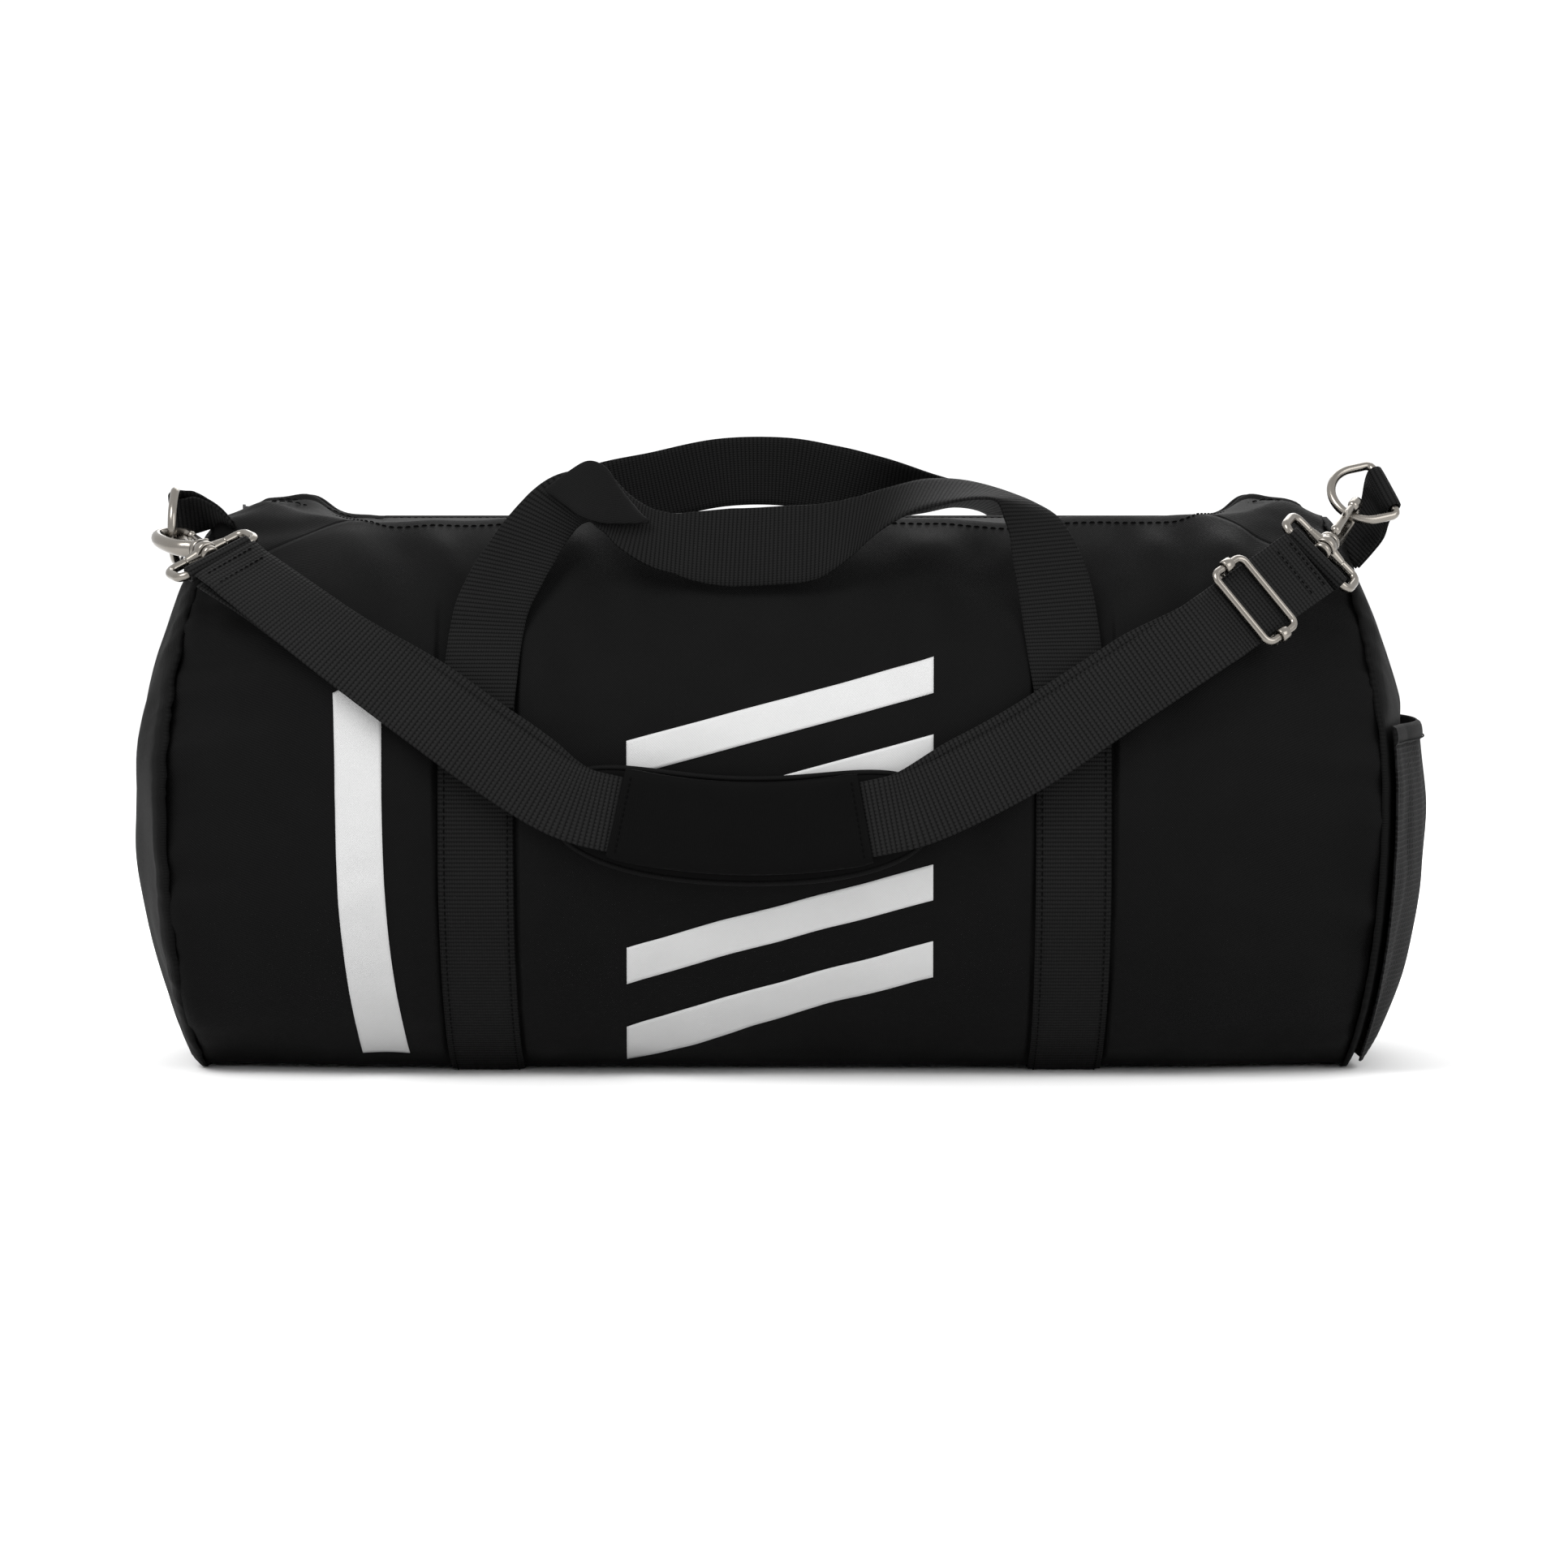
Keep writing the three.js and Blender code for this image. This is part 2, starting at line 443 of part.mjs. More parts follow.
// webbing turned round a bar: a sleeve of webbing about that bar
function turn(name, o, axis, rIn, rOut) {
  const pts = [[rIn, -WEB_W / 2], [rOut, -WEB_W / 2], [rOut, WEB_W / 2], [rIn, WEB_W / 2], [rIn, -WEB_W / 2]].map((p) => new THREE.Vector2(p[0], p[1]));
  const g = new THREE.LatheGeometry(pts, 16);
  const ay = axis.clone().normalize(), ax = Math.abs(ay.x) < 0.9 ? V(1, 0, 0).cross(ay).normalize() : V(0, 1, 0).cross(ay).normalize();
  const az = ax.clone().cross(ay).normalize();
  piece(name, place(g, o, ax, ay, az), mat(webbing, 0.8));
}
const adjBar = adjO.clone().addScaledVector(rNn, -(STRAP_T / 2 + 0.3 + 1.2 + 0.3 + 1.5));
turn('strap_end_turn', adjBar, rW, 1.8, 3.0);
{ // sewn tail behind the right loop
  const n = 6, len = 12;
  const g = new THREE.BoxGeometry(1, 1, 1, n, 1, 1);
  piece('strap_right_tail', mapGeo(g, (v) => {
    const d = EYE_R + 4.8 + (0.5 - v.x) * len, sink = lerp(2 * (EYE_R + 0.3 + STRAP_T / 2), STRAP_T + 0.5, smooth((d - 4) / 12));
    return R_END.clone().addScaledVector(rT, -d).addScaledVector(rW, v.y * (WEB_W - 1)).addScaledVector(rNn, -sink + v.z * STRAP_T);
  }), mat(webbing, 0.8));
}

// ------------------------------------------------------------------- strap adjuster
function rectLoop(halfU, halfW, corner, n) { // closed rectangle with round corners in (u, w)
  const s = new THREE.Path();
  s.moveTo(-halfU + corner, -halfW);
  s.lineTo(halfU - corner, -halfW); s.absarc(halfU - corner, -halfW + corner, corner, -Math.PI / 2, 0);
  s.lineTo(halfU, halfW - corner); s.absarc(halfU - corner, halfW - corner, corner, 0, Math.PI / 2);
  s.lineTo(-halfU + corner, halfW); s.absarc(-halfU + corner, halfW - corner, corner, Math.PI / 2, Math.PI);
  s.lineTo(-halfU, -halfW + corner); s.absarc(-halfU + corner, -halfW + corner, corner, Math.PI, Math.PI * 1.5);
  s.closePath();
  const pts = s.getSpacedPoints(n); pts.pop();
  return pts;
}
function tube(points, r, steps, nRad = 8) { // round rod along an open path
  const curve = new THREE.CatmullRomCurve3(points, false, 'centripetal');
  const fr = curve.computeFrenetFrames(steps, false);
  return mapGeo(new THREE.CylinderGeometry(1, 1, 1, nRad, steps), (v) => {
    const i = Math.round((v.y + 0.5) * steps), c = curve.getPointAt(i / steps);
    return c.addScaledVector(fr.normals[i], r * v.x).addScaledVector(fr.binormals[i], r * v.z);
  });
}
{
  const o = adjO.clone().addScaledVector(rNn, STRAP_T / 2 + 0.3 + ADJ_R);
  const loop = rectLoop(ADJ_HALF_L, ADJ_HALF_W, 3.6, 36).map((q) => o.clone().addScaledVector(rT, q.x).addScaledVector(rW, q.y));
  piece('adjuster_frame', closedTube(loop, ADJ_R, 6, o), mat(nickel, 0.35, 0.9));
  const at = (w, n) => adjO.clone().addScaledVector(rW, w).addScaledVector(rNn, n);
  const nBar = -(STRAP_T / 2 + 0.3 + 1.2 + 0.3 + 1.5), nFrame = STRAP_T / 2 + 0.3 + ADJ_R;
  let s = solid(tube([at(-ADJ_HALF_W, nBar), at(0, nBar), at(ADJ_HALF_W, nBar)], 1.5, 4));
  for (const sgn of [-1, 1]) {
    s = s.add(solid(tube([at(sgn * ADJ_HALF_W, nBar - 1.5), at(sgn * ADJ_HALF_W, nFrame - ADJ_R - 0.9)], 1.5, 2)));
    const pts = [[ADJ_R + 0.35, -2.4], [ADJ_R + 1.35, -2.4], [ADJ_R + 1.35, 2.4], [ADJ_R + 0.35, 2.4], [ADJ_R + 0.35, -2.4]].map((p) => new THREE.Vector2(p[0], p[1]));
    s = s.add(solid(place(new THREE.LatheGeometry(pts, 14), at(sgn * ADJ_HALF_W, nFrame), rW, rT, rW.clone().cross(rT))));
  }
  piece('adjuster_bar', fromSolid(s), mat(nickel, 0.35, 0.9));
}

// --------------------------------------------------------------------- shoulder pad
{
  const arc = [];
  for (let d = -20; d <= 18; d += 2) {
    const a = (d * Math.PI) / 180;
    arc.push([PAD_CX + PAD_R * Math.sin(a), PAD_Y, PAD_CZ - PAD_R * Math.cos(a), 0, -1, 0]);
  }
  const line = new Strip(arc), at = (deg) => (deg + 20) / 38;
  const base = line.geo(1, 5.4, 18, { from: at(-18.3), to: at(16.2), offN: -7.95, offW: -1, widthAt: (f) => 44 - 20 * Math.pow(Math.abs(2 * f - 1), 5) });
  piece('pad_base', base, mat(0x0e0e0f, 0.7));
  const outer = line.geo(38.4, 7.4, 16, { from: at(-12.9), to: at(10.4), offN: -1.15, offW: 0.6 });
  const inner = line.geo(35.6, 5.2, 20, { from: at(-14.5), to: at(12), offN: -1.15, offW: 0.6 });
  piece('pad_sleeve', fromSolid(solid(outer).subtract(solid(inner))), mat(0x0e0e0f, 0.65));
}

// --------------------------------------------------------------- D-rings and tabs
function dRing(name, bar, a, b) {
  const s = new THREE.Path(), c = 3;
  s.moveTo(0, -RING_HALF + c);
  s.lineTo(0, RING_HALF - c);
  s.quadraticCurveTo(0, RING_HALF, c, RING_HALF);
  s.lineTo(RING_ARC_A, RING_HALF);
  s.absarc(RING_ARC_A, 0, RING_HALF, Math.PI / 2, -Math.PI / 2, true);
  s.lineTo(c, -RING_HALF);
  s.quadraticCurveTo(0, -RING_HALF, 0, -RING_HALF + c);
  const pts = s.getSpacedPoints(32); pts.pop();
  const o = bar.clone().addScaledVector(a, 11);
  piece(name, closedTube(pts.map((q) => bar.clone().addScaledVector(a, q.x).addScaledVector(b, q.y)), RING_R, 6, o), mat(nickel, 0.3, 0.9));
}
// webbing loop round the ring's bar; d points to the bag
function tabLoop(name, bar, b, d, len) {
  const e = d.clone().cross(b).normalize();
  const sh = new THREE.Shape();
  sh.absarc(0, 0, 4.0, Math.PI / 2, Math.PI * 1.5, false);
  sh.lineTo(len, -1.9); sh.lineTo(len, 1.9);
  sh.closePath();
  const hole = new THREE.Path(); hole.absarc(0, 0, RING_R + 0.35, 0, Math.PI * 2, true);
  sh.holes.push(hole);
  const g = new THREE.ExtrudeGeometry(sh, { depth: 21.6, bevelEnabled: false, curveSegments: 10 });
  g.translate(0, 0, -10.8);
  const az = d.clone().cross(e).normalize();
  piece(name, place(g, bar, d, e, az), mat(webbing, 0.8));
}
const L_BAR = V(-268, -34, 245), L_A = V(0, -0.7071, -0.7071), L_B = V(0, 0.7071, -0.7071);
dRing('left_d_ring', L_BAR, L_A, L_B);
tabLoop('left_tab_loop', L_BAR, L_B, V(1, 0, 0), 7);
const R_BAR = V(266, -40, 255), R_A = V(-0.93, -0.3, -0.2).normalize();
const R_B = V(0.35, -0.55, -0.76); R_B.addScaledVector(R_A, -R_B.dot(R_A)).normalize();
const R_D = V(0, 0.3, -1); R_D.addScaledVector(R_B, -R_D.dot(R_B)).normalize();
dRing('right_d_ring', R_BAR, R_A, R_B);
tabLoop('right_tab_loop', R_BAR, R_B, R_D, 7);
function tabBase(name, side, y, tail) {
  const keys = [233, 241, 248].map((x) => { // on the fabric, along its slope
    const e = 2, gx = (topAt(x + e, y) - topAt(x - e, y)) / (2 * e), gy = (topAt(x, y + e) - topAt(x, y - e)) / (2 * e);
    const X = stretch(side * x, topAt(x, y)), n = V(-gx * side * 0.8, -gy, 1).normalize();
    return [X + n.x * 3.2, y + n.y * 3.2, topAt(x, y) + n.z * 3.2, n.x, n.y, n.z];
  });
  piece(name, new Strip(keys.concat(tail)).geo(22, 2.6, 10), mat(webbing, 0.8));
}
tabBase('left_tab_base', -1, -32, [[-252, -33, 245.0, -0.1, -0.1, 1], [-259.4, -34, 244.8, 0, 0, 1]]);
tabBase('right_tab_base', 1, -17, [[249, -17.3, 244.6, 0.1, 0, 1], [253.5, -17.6, 244.2, 0.2, 0, 1]]);

// ------------------------------------------------------------- swivelling snap hooks
// local axes: u from the strap's bar to the ring, w along the strap's bar, v = u x w
function snapHook(side, eye, wGuess, bar, a, b) {
  const C = bar.clone().addScaledVector(a, RING_ARC_A);
  // where the hook holds the ring: the arc point that faces the strap
  const pull = eye.clone().sub(C);
  const pa = Math.max(0, pull.dot(a)), pb = pull.dot(b), k = Math.hypot(pa, pb);
  const hold = C.clone().addScaledVector(a, (RING_HALF * pa) / k).addScaledVector(b, (RING_HALF * pb) / k);
  const wire = a.clone().multiplyScalar(-pb / k).addScaledVector(b, pa / k).normalize();
  const u = hold.clone().sub(eye), len = u.length(); u.normalize();
  const w = wGuess.clone().addScaledVector(u, -wGuess.dot(u)).normalize();
  const v = u.clone().cross(w).normalize();
  // frame of the claw: its open plane is square to the ring's wire
  const t = wire.clone().addScaledVector(u, -wire.dot(u)).normalize();
  const m = t.clone().cross(u).normalize();
  const P = (pu, pw, pv = 0) => eye.clone().addScaledVector(u, pu).addScaledVector(w, pw).addScaledVector(v, pv);
  const Q = (pu, pm, pt = 0) => eye.clone().addScaledVector(u, pu).addScaledVector(m, pm).addScaledVector(t, pt);
  const loop = rectLoop(EYE_LEN / 2, EYE_HALF, 3.8, 32).map((q) => P(EYE_LEN / 2 + q.x, q.y));
  const rod = (r, u0, u1, seg = 16) => { const g = new THREE.CylinderGeometry(r, r, u1 - u0, seg); g.translate(0, (u0 + u1) / 2, 0); return solid(place(g, eye, w.clone(), u.clone(), w.clone().cross(u))); };
  const eyeSolid = solid(closedTube(loop, EYE_R, 6, P(EYE_LEN / 2, 0))).add(rod(5.2, EYE_LEN - 2.8, EYE_LEN + 3.2)).subtract(rod(2.85, 4, 22));
  piece(`${side}_hook_loop`, fromSolid(eyeSolid), mat(nickel, 0.3, 0.9));
  const top = len + 5.4; // claw's crown, wire centre
  const path = [Q(17, 0), Q(21, -1.8), Q(26, -5.8), Q(33, -7.6), Q(top - 8, -7.6), Q(top - 2.0, -5.2), Q(top, 0), Q(top - 1.7, 4.8), Q(top - 5.6, 7.2), Q(top - 9.6, 7.4)];
  const claw = rod(2.5, EYE_LEN - 4.5, EYE_LEN + 5).add(rod(4.2, EYE_LEN - 6, EYE_LEN - 3.2)).add(rod(4.8, EYE_LEN + 3.6, EYE_LEN + 6.2)).add(solid(tube(path, 2.6, 22, 6)));
  piece(`${side}_hook_claw`, fromSolid(claw), mat(nickel, 0.3, 0.9));
  const gate = tube([Q(EYE_LEN + 10, 4.4), Q((EYE_LEN + 10 + top - 12) / 2, 6.2), Q(top - 13.2, 7.3)], 1.8, 5, 6);
  piece(`${side}_hook_gate`, gate, mat(nickel, 0.3, 0.9));
  return { eye, u, w, m, t, len, gatePivot: Q(EYE_LEN + 10, 4.4) };
}
const hookL = snapHook('left', L_EYE, lW, L_BAR, L_A, L_B);
const hookR = snapHook('right', rEye, rW, R_BAR, R_A, R_B);

turn('strap_left_turn', L_EYE, hookL.w, EYE_R + 0.3, EYE_R + 0.3 + 1.2);
turn('strap_right_turn', rEye, hookR.w, EYE_R + 0.3, EYE_R + 0.3 + 1.2);

// joint lines for reference, kept on the group's user data in millimetres
bag.userData.jointLines = {
  adjusterDir: rT.toArray(),
  left: { eye: hookL.eye.toArray(), u: hookL.u.toArray(), t: hookL.t.toArray(), m: hookL.m.toArray(), pivot: hookL.gatePivot.toArray(), len: hookL.len },
  right: { eye: hookR.eye.toArray(), u: hookR.u.toArray(), t: hookR.t.toArray(), m: hookR.m.toArray(), pivot: hookR.gatePivot.toArray(), len: hookR.len },
};

export default bag;
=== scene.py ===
# Barrel duffel bag: the visible model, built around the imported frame. Lengths in mm until a mesh is made.
import bpy
import math
import numpy as np
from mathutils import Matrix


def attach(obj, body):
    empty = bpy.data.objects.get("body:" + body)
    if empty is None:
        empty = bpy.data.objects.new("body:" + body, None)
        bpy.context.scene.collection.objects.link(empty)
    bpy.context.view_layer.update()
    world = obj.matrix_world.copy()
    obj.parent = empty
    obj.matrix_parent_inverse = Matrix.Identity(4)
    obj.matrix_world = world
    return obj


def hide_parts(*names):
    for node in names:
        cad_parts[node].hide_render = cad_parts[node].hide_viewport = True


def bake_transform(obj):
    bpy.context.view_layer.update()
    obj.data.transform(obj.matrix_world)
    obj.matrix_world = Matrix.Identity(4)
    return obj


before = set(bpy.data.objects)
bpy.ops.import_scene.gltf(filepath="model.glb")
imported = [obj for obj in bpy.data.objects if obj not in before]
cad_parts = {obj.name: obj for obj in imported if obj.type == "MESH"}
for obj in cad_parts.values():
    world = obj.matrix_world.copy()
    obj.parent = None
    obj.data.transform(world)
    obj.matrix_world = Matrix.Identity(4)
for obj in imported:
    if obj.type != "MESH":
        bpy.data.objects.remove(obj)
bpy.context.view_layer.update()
MM = 0.001

# ------------------------------------------------------------------ dimensions (as in the CAD)
HEIGHT, MID_Z, HALF_DEPTH, SEMI_Z, SHELL = 242.8, 123.0, 137.0, 134.0, 3.0
SEAM_X, LEFT_DOME, RIGHT_DOME, POCKET_DOME, DOME_Z, RIGHT_SEAM_IN = 264.0, 287.0, 279.5, 287.0, 112.0, 8.0
LIP_Y, LIP_X, CHAIN_Z, CHAIN_END = 62.0, 178.0, 242.2, 227.5
BAND_X, WEB_W, BAND_T, HANDLE_T, BAND_TOP_Z = (-129.5, 123.5), 32.0, 1.4, 2.0, 196.0
STRAP_T, RING_R, RING_HALF, RING_ARC_A = 1.6, 2.0, 14.5, 10.0
EYE_R, EYE_HALF, EYE_LEN = 2.0, 19.5, 13.0
ADJ_R, ADJ_HALF_W, ADJ_HALF_L = 1.75, 18.8, 9.3
PAD_R, PAD_CX, PAD_CZ, PAD_Y = 260.0, -12.0, 371.0, -150.0
EDGE_Y = 63.0                     # where the wraparound shell meets the top pieces

# ------------------------------------------------------------------ small helpers
A = lambda *v: np.array(v, float)
unit = lambda v: np.asarray(v, float) / (np.linalg.norm(v, axis=-1, keepdims=True) + 1e-12)
spow = lambda v, p: np.sign(v) * np.abs(v) ** p
smooth = lambda t: np.clip(t, 0, 1) ** 2 * (3 - 2 * np.clip(t, 0, 1))
lerp = lambda a, b, t: a + (b - a) * t
bump = lambda u: np.where(np.abs(u) < 1, (1 - np.asarray(u) ** 2) ** 2, 0.0)


def waves(seed, n, lo, hi):
    """smooth random field made of n sines with wavelengths lo..hi mm, about -1..1"""
    r = np.random.default_rng(seed)
    a, w, p = r.uniform(0, 2 * np.pi, n), r.uniform(lo, hi, n), r.uniform(0, 2 * np.pi, n)
    return lambda u, v: sum(np.sin(2 * np.pi * (u * math.cos(a[i]) + v * math.sin(a[i])) / w[i] + p[i]) for i in range(n)) / math.sqrt(n * 1.3)


def make(name, verts, faces, mat, uv=None, body=None, replaces=(), flat=False):
    me = bpy.data.meshes.new(name)
    me.from_pydata((np.asarray(verts, float) * MM).tolist(), [], faces)
    me.update()
    if uv is not None:
        layer = me.uv_layers.new(name="UVMap")
        li = np.zeros(len(me.loops), np.int32)
        me.loops.foreach_get("vertex_index", li)
        layer.data.foreach_set("uv", (np.asarray(uv, float)[li] * MM).ravel())
    if not flat:
        me.polygons.foreach_set("use_smooth", [True] * len(me.polygons))
    me.materials.append(mat)
    me.update()
    o = bpy.data.objects.new(name, me)
    bpy.context.scene.collection.objects.link(o)
    if body:
        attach(o, body)
    if replaces:
        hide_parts(*replaces)
    return o


def merge(parts):
    """(verts, faces, uv) of several parts as one"""
    V, F, U, k = [], [], [], 0
    for v, f, u in parts:
        V.append(np.asarray(v, float))
        F += [tuple(i + k for i in q) for q in f]
        U.append(np.zeros((len(v), 2)) if u is None else np.asarray(u, float))
        k += len(v)
    return np.vstack(V), F, np.vstack(U)


def grid_faces(n, m, off=0, close_n=False, close_m=False, flip=False):
    F = []
    for i in range(n if close_n else n - 1):
        for j in range(m if close_m else m - 1):
            a, b = off + i * m + j, off + ((i + 1) % n) * m + j
            c, d = off + ((i + 1) % n) * m + (j + 1) % m, off + i * m + (j + 1) % m
            F.append((a, d, c, b) if flip else (a, b, c, d))
    return F


def normals(P):
    gu, gv = np.gradient(P, axis=0), np.gradient(P, axis=1)
    return unit(np.cross(gu, gv))


def slab(P, N, t, uv=None):
    """closed sheet: outer grid P (n, m, 3), inner grid t behind it"""
    n, m = P.shape[:2]
    Q = P - N * (np.asarray(t)[..., None] if np.ndim(t) else t)
    verts = np.vstack([P.reshape(-1, 3), Q.reshape(-1, 3)])
    k = n * m
    F = grid_faces(n, m) + grid_faces(n, m, k, flip=True)
    ring = [i * m for i in range(n)] + [(n - 1) * m + j for j in range(1, m)] + [i * m + m - 1 for i in range(n - 2, -1, -1)] + [j for j in range(m - 2, 0, -1)]
    for a, b in zip(ring, ring[1:] + ring[:1]):
        F.append((a, a + k, b + k, b))
    c = np.cross(P[1, 0] - P[0, 0], P[0, 1] - P[0, 0])
    if np.dot(np.cross(P[n // 2 + 1, m // 2] - P[n // 2, m // 2], P[n // 2, m // 2 + 1] - P[n // 2, m // 2]), N[n // 2, m // 2]) < 0:
        F = [tuple(reversed(f)) for f in F]
    U = None if uv is None else np.vstack([uv.reshape(-1, 2)] * 2)
    return verts, F, U


def tube(P, r, nrad=14, closed=False, flat=1.0, ref=None):
    """round rod along points P; r may vary; flat squeezes it across ref"""
    P = np.asarray(P, float)
    n = len(P)
    T = unit(np.roll(P, -1, 0) - np.roll(P, 1, 0)) if closed else unit(np.gradient(P, axis=0))
    r = np.broadcast_to(np.asarray(r, float), (n,))
    if ref is None:
        c = P.mean(0)
        nv = unit(np.cross(T[0], [0.3, 0.5, 0.8]))
        N = []
        for i in range(n):
            nv = unit(nv - np.dot(nv, T[i]) * T[i])
            N.append(nv)
        N = np.array(N)
        if closed:  # take the twist out
            e = unit(N[-1] - np.dot(N[-1], T[0]) * T[0])
            ang = math.atan2(np.dot(np.cross(e, N[0]), T[0]), np.dot(e, N[0]))
            k = np.linspace(0, 1, n)[:, None] * ang
            B = np.cross(T, N)
            N = N * np.cos(k) + B * np.sin(k)
    else:
        ref = np.broadcast_to(np.asarray(ref, float), (n, 3))
        N = unit(ref - (ref * T).sum(1, keepdims=True) * T)
    B = np.cross(T, N)
    a = np.linspace(0, 2 * np.pi, nrad, endpoint=False)
    G = P[:, None] + r[:, None, None] * (N[:, None] * np.cos(a)[None, :, None] * flat + B[:, None] * np.sin(a)[None, :, None])
    F = grid_faces(n, nrad, close_n=closed, close_m=True, flip=True)
    if not closed:
        F += [tuple(range(nrad)), tuple(reversed(range((n - 1) * nrad, n * nrad)))]
    s = np.concatenate([[0], np.cumsum(np.linalg.norm(np.diff(P, axis=0), axis=1))])
    uv = np.stack(np.broadcast_arrays(a[None, :] * r.mean(), s[:, None]), -1)
    return G.reshape(-1, 3), F, uv.reshape(-1, 2)


def ball_ends(P, r, k=4):
    """radii and points so that an open rod ends round"""
    P = np.asarray(P, float)
    r = np.broadcast_to(np.asarray(r, float), (len(P),)).copy()
    t0, t1 = unit(P[0] - P[1]), unit(P[-1] - P[-2])
    a = np.linspace(0, np.pi / 2 * 0.96, k + 1)[1:]
    P0 = [P[0] + t0 * r[0] * math.sin(x) for x in a][::-1]
    P1 = [P[-1] + t1 * r[-1] * math.sin(x) for x in a]
    return np.vstack([P0, P, P1]), np.concatenate([r[0] * np.cos(a)[::-1], r, r[-1] * np.cos(a)])


def lathe(profile, o, axis, seg=32, close=False):
    """profile [(along, radius)] turned about axis through o"""
    axis = unit(axis)
    e1 = unit(np.cross(axis, [0.2, 0.9, 0.3]))
    e2 = np.cross(axis, e1)
    pr = np.array(profile, float)
    a = np.linspace(0, 2 * np.pi, seg, endpoint=False)
    G = o + pr[:, 0][:, None, None] * axis + pr[:, 1][:, None, None] * (np.cos(a)[None, :, None] * e1 + np.sin(a)[None, :, None] * e2)
    n = len(pr)
    F = grid_faces(n, seg, close_n=close, close_m=True, flip=False)
    if not close:
        F += [tuple(reversed(range(seg))), tuple(range((n - 1) * seg, n * seg))]
    uv = np.stack(np.broadcast_arrays(a[None, :] * pr[:, 1].max(), pr[:, 0][:, None]), -1)
    v = G.reshape(-1, 3)
    return v, fix(v, F), uv.reshape(-1, 2)


def fix(v, F):
    """turns faces outward by signed volume"""
    vol = 0.0
    for f in F:
        for i in range(1, len(f) - 1):
            vol += np.dot(v[f[0]], np.cross(v[f[i]], v[f[i + 1]]))
    return [tuple(reversed(f)) for f in F] if vol < 0 else F


def catmull(keys, u):
    """centripetal Catmull-Rom through keys at u in 0..1"""
    P = np.asarray(keys, float)
    L = len(P)
    out = []
    for t in np.atleast_1d(u):
        p = (L - 1) * t
        i = min(int(math.floor(p)), L - 2)
        w = p - i
        p1, p2 = P[i], P[i + 1]
        p0 = P[i - 1] if i > 0 else 2 * P[0] - P[1]
        p3 = P[i + 2] if i + 2 < L else 2 * P[-1] - P[-2]
        d0, d1, d2 = [np.sum((b - a) ** 2) ** 0.25 for a, b in ((p0, p1), (p1, p2), (p2, p3))]
        d1 = d1 if d1 > 1e-4 else 1.0
        d0 = d0 if d0 > 1e-4 else d1
        d2 = d2 if d2 > 1e-4 else d1
        t1 = ((p1 - p0) / d0 - (p2 - p0) / (d0 + d1) + (p2 - p1) / d1) * d1
        t2 = ((p2 - p1) / d1 - (p3 - p1) / (d1 + d2) + (p3 - p2) / d2) * d1
        out.append(p1 + t1 * w + (-3 * p1 + 3 * p2 - 2 * t1 - t2) * w ** 2 + (2 * p1 - 2 * p2 + t1 + t2) * w ** 3)
    return np.array(out)


class Strip:
    """flat webbing along a path; keys [x, y, z, nx, ny, nz]"""

    def __init__(self, keys):
        k = np.array(keys, float)
        self.p, self.q = k[:, :3], unit(k[:, 3:])

    def frames(self, us):
        us = np.asarray(us, float)
        e = 1e-3
        c = catmull(self.p, us)
        t = unit(catmull(self.p, np.minimum(1, us + e)) - catmull(self.p, np.maximum(0, us - e)))
        n0 = unit(catmull(self.q, us))
        w = unit(np.cross(n0, t))
        return c, t, w, unit(np.cross(t, w))


def ribbon(c, w, n, width, thick, across=10, crown=0.12, vstart=0.0):
    """webbing with rounded selvedges: c centres, w width direction, n out normal (all (k,3))"""
    k = len(c)
    width = np.broadcast_to(np.asarray(width, float), (k,))
    h = thick / 2
    xs = np.linspace(-1, 1, across + 1)
    sec = []  # (share of half width, extra width in mm, height in mm, u)
    for x in xs:
        sec.append((x, 0.0, h * (1 - 0.25 * abs(x) ** 8) + crown * (1 - x * x), x))
    for a in (55, 90, 125):
        sec.append((1, 0.45 * h * math.sin(math.radians(a)), h * math.cos(math.radians(a)) * 0.75, 1.03))
    for x in xs[::-1]:
        sec.append((x, 0.0, -h * (1 - 0.25 * abs(x) ** 8) + crown * (1 - x * x) * 0.6, x))
    for a in (235, 270, 305):
        sec.append((-1, 0.45 * h * math.sin(math.radians(a)), h * math.cos(math.radians(a)) * 0.75, -1.03))
    m = len(sec)
    G = np.zeros((k, m, 3))
    U = np.zeros((k, m, 2))
    s = vstart + np.concatenate([[0], np.cumsum(np.linalg.norm(np.diff(c, axis=0), axis=1))])
    for j, (x, e, hh, u) in enumerate(sec):
        G[:, j] = c + w * (x * (width[:, None] / 2 - 0.3) + e) + n * hh
        U[:, j, 0] = u * width / 2
        U[:, j, 1] = s
    v = G.reshape(-1, 3)
    F = grid_faces(k, m, close_m=True)
    F += [tuple(range(m)), tuple(reversed(range((k - 1) * m, k * m)))]
    return v, fix(v, F), U.reshape(-1, 2)


def resample(P, step, extra=None):
    P = np.asarray(P, float)
    s = np.concatenate([[0], np.cumsum(np.linalg.norm(np.diff(P, axis=0), axis=1))])
    n = max(2, int(round(s[-1] / step)) + 1)
    t = np.linspace(0, s[-1], n)
    out = np.stack([np.interp(t, s, P[:, i]) for i in range(3)], 1)
    if extra is None:
        return out
    E = np.stack([np.interp(t, s, np.asarray(extra)[:, i]) for i in range(3)], 1)
    return out, unit(E)


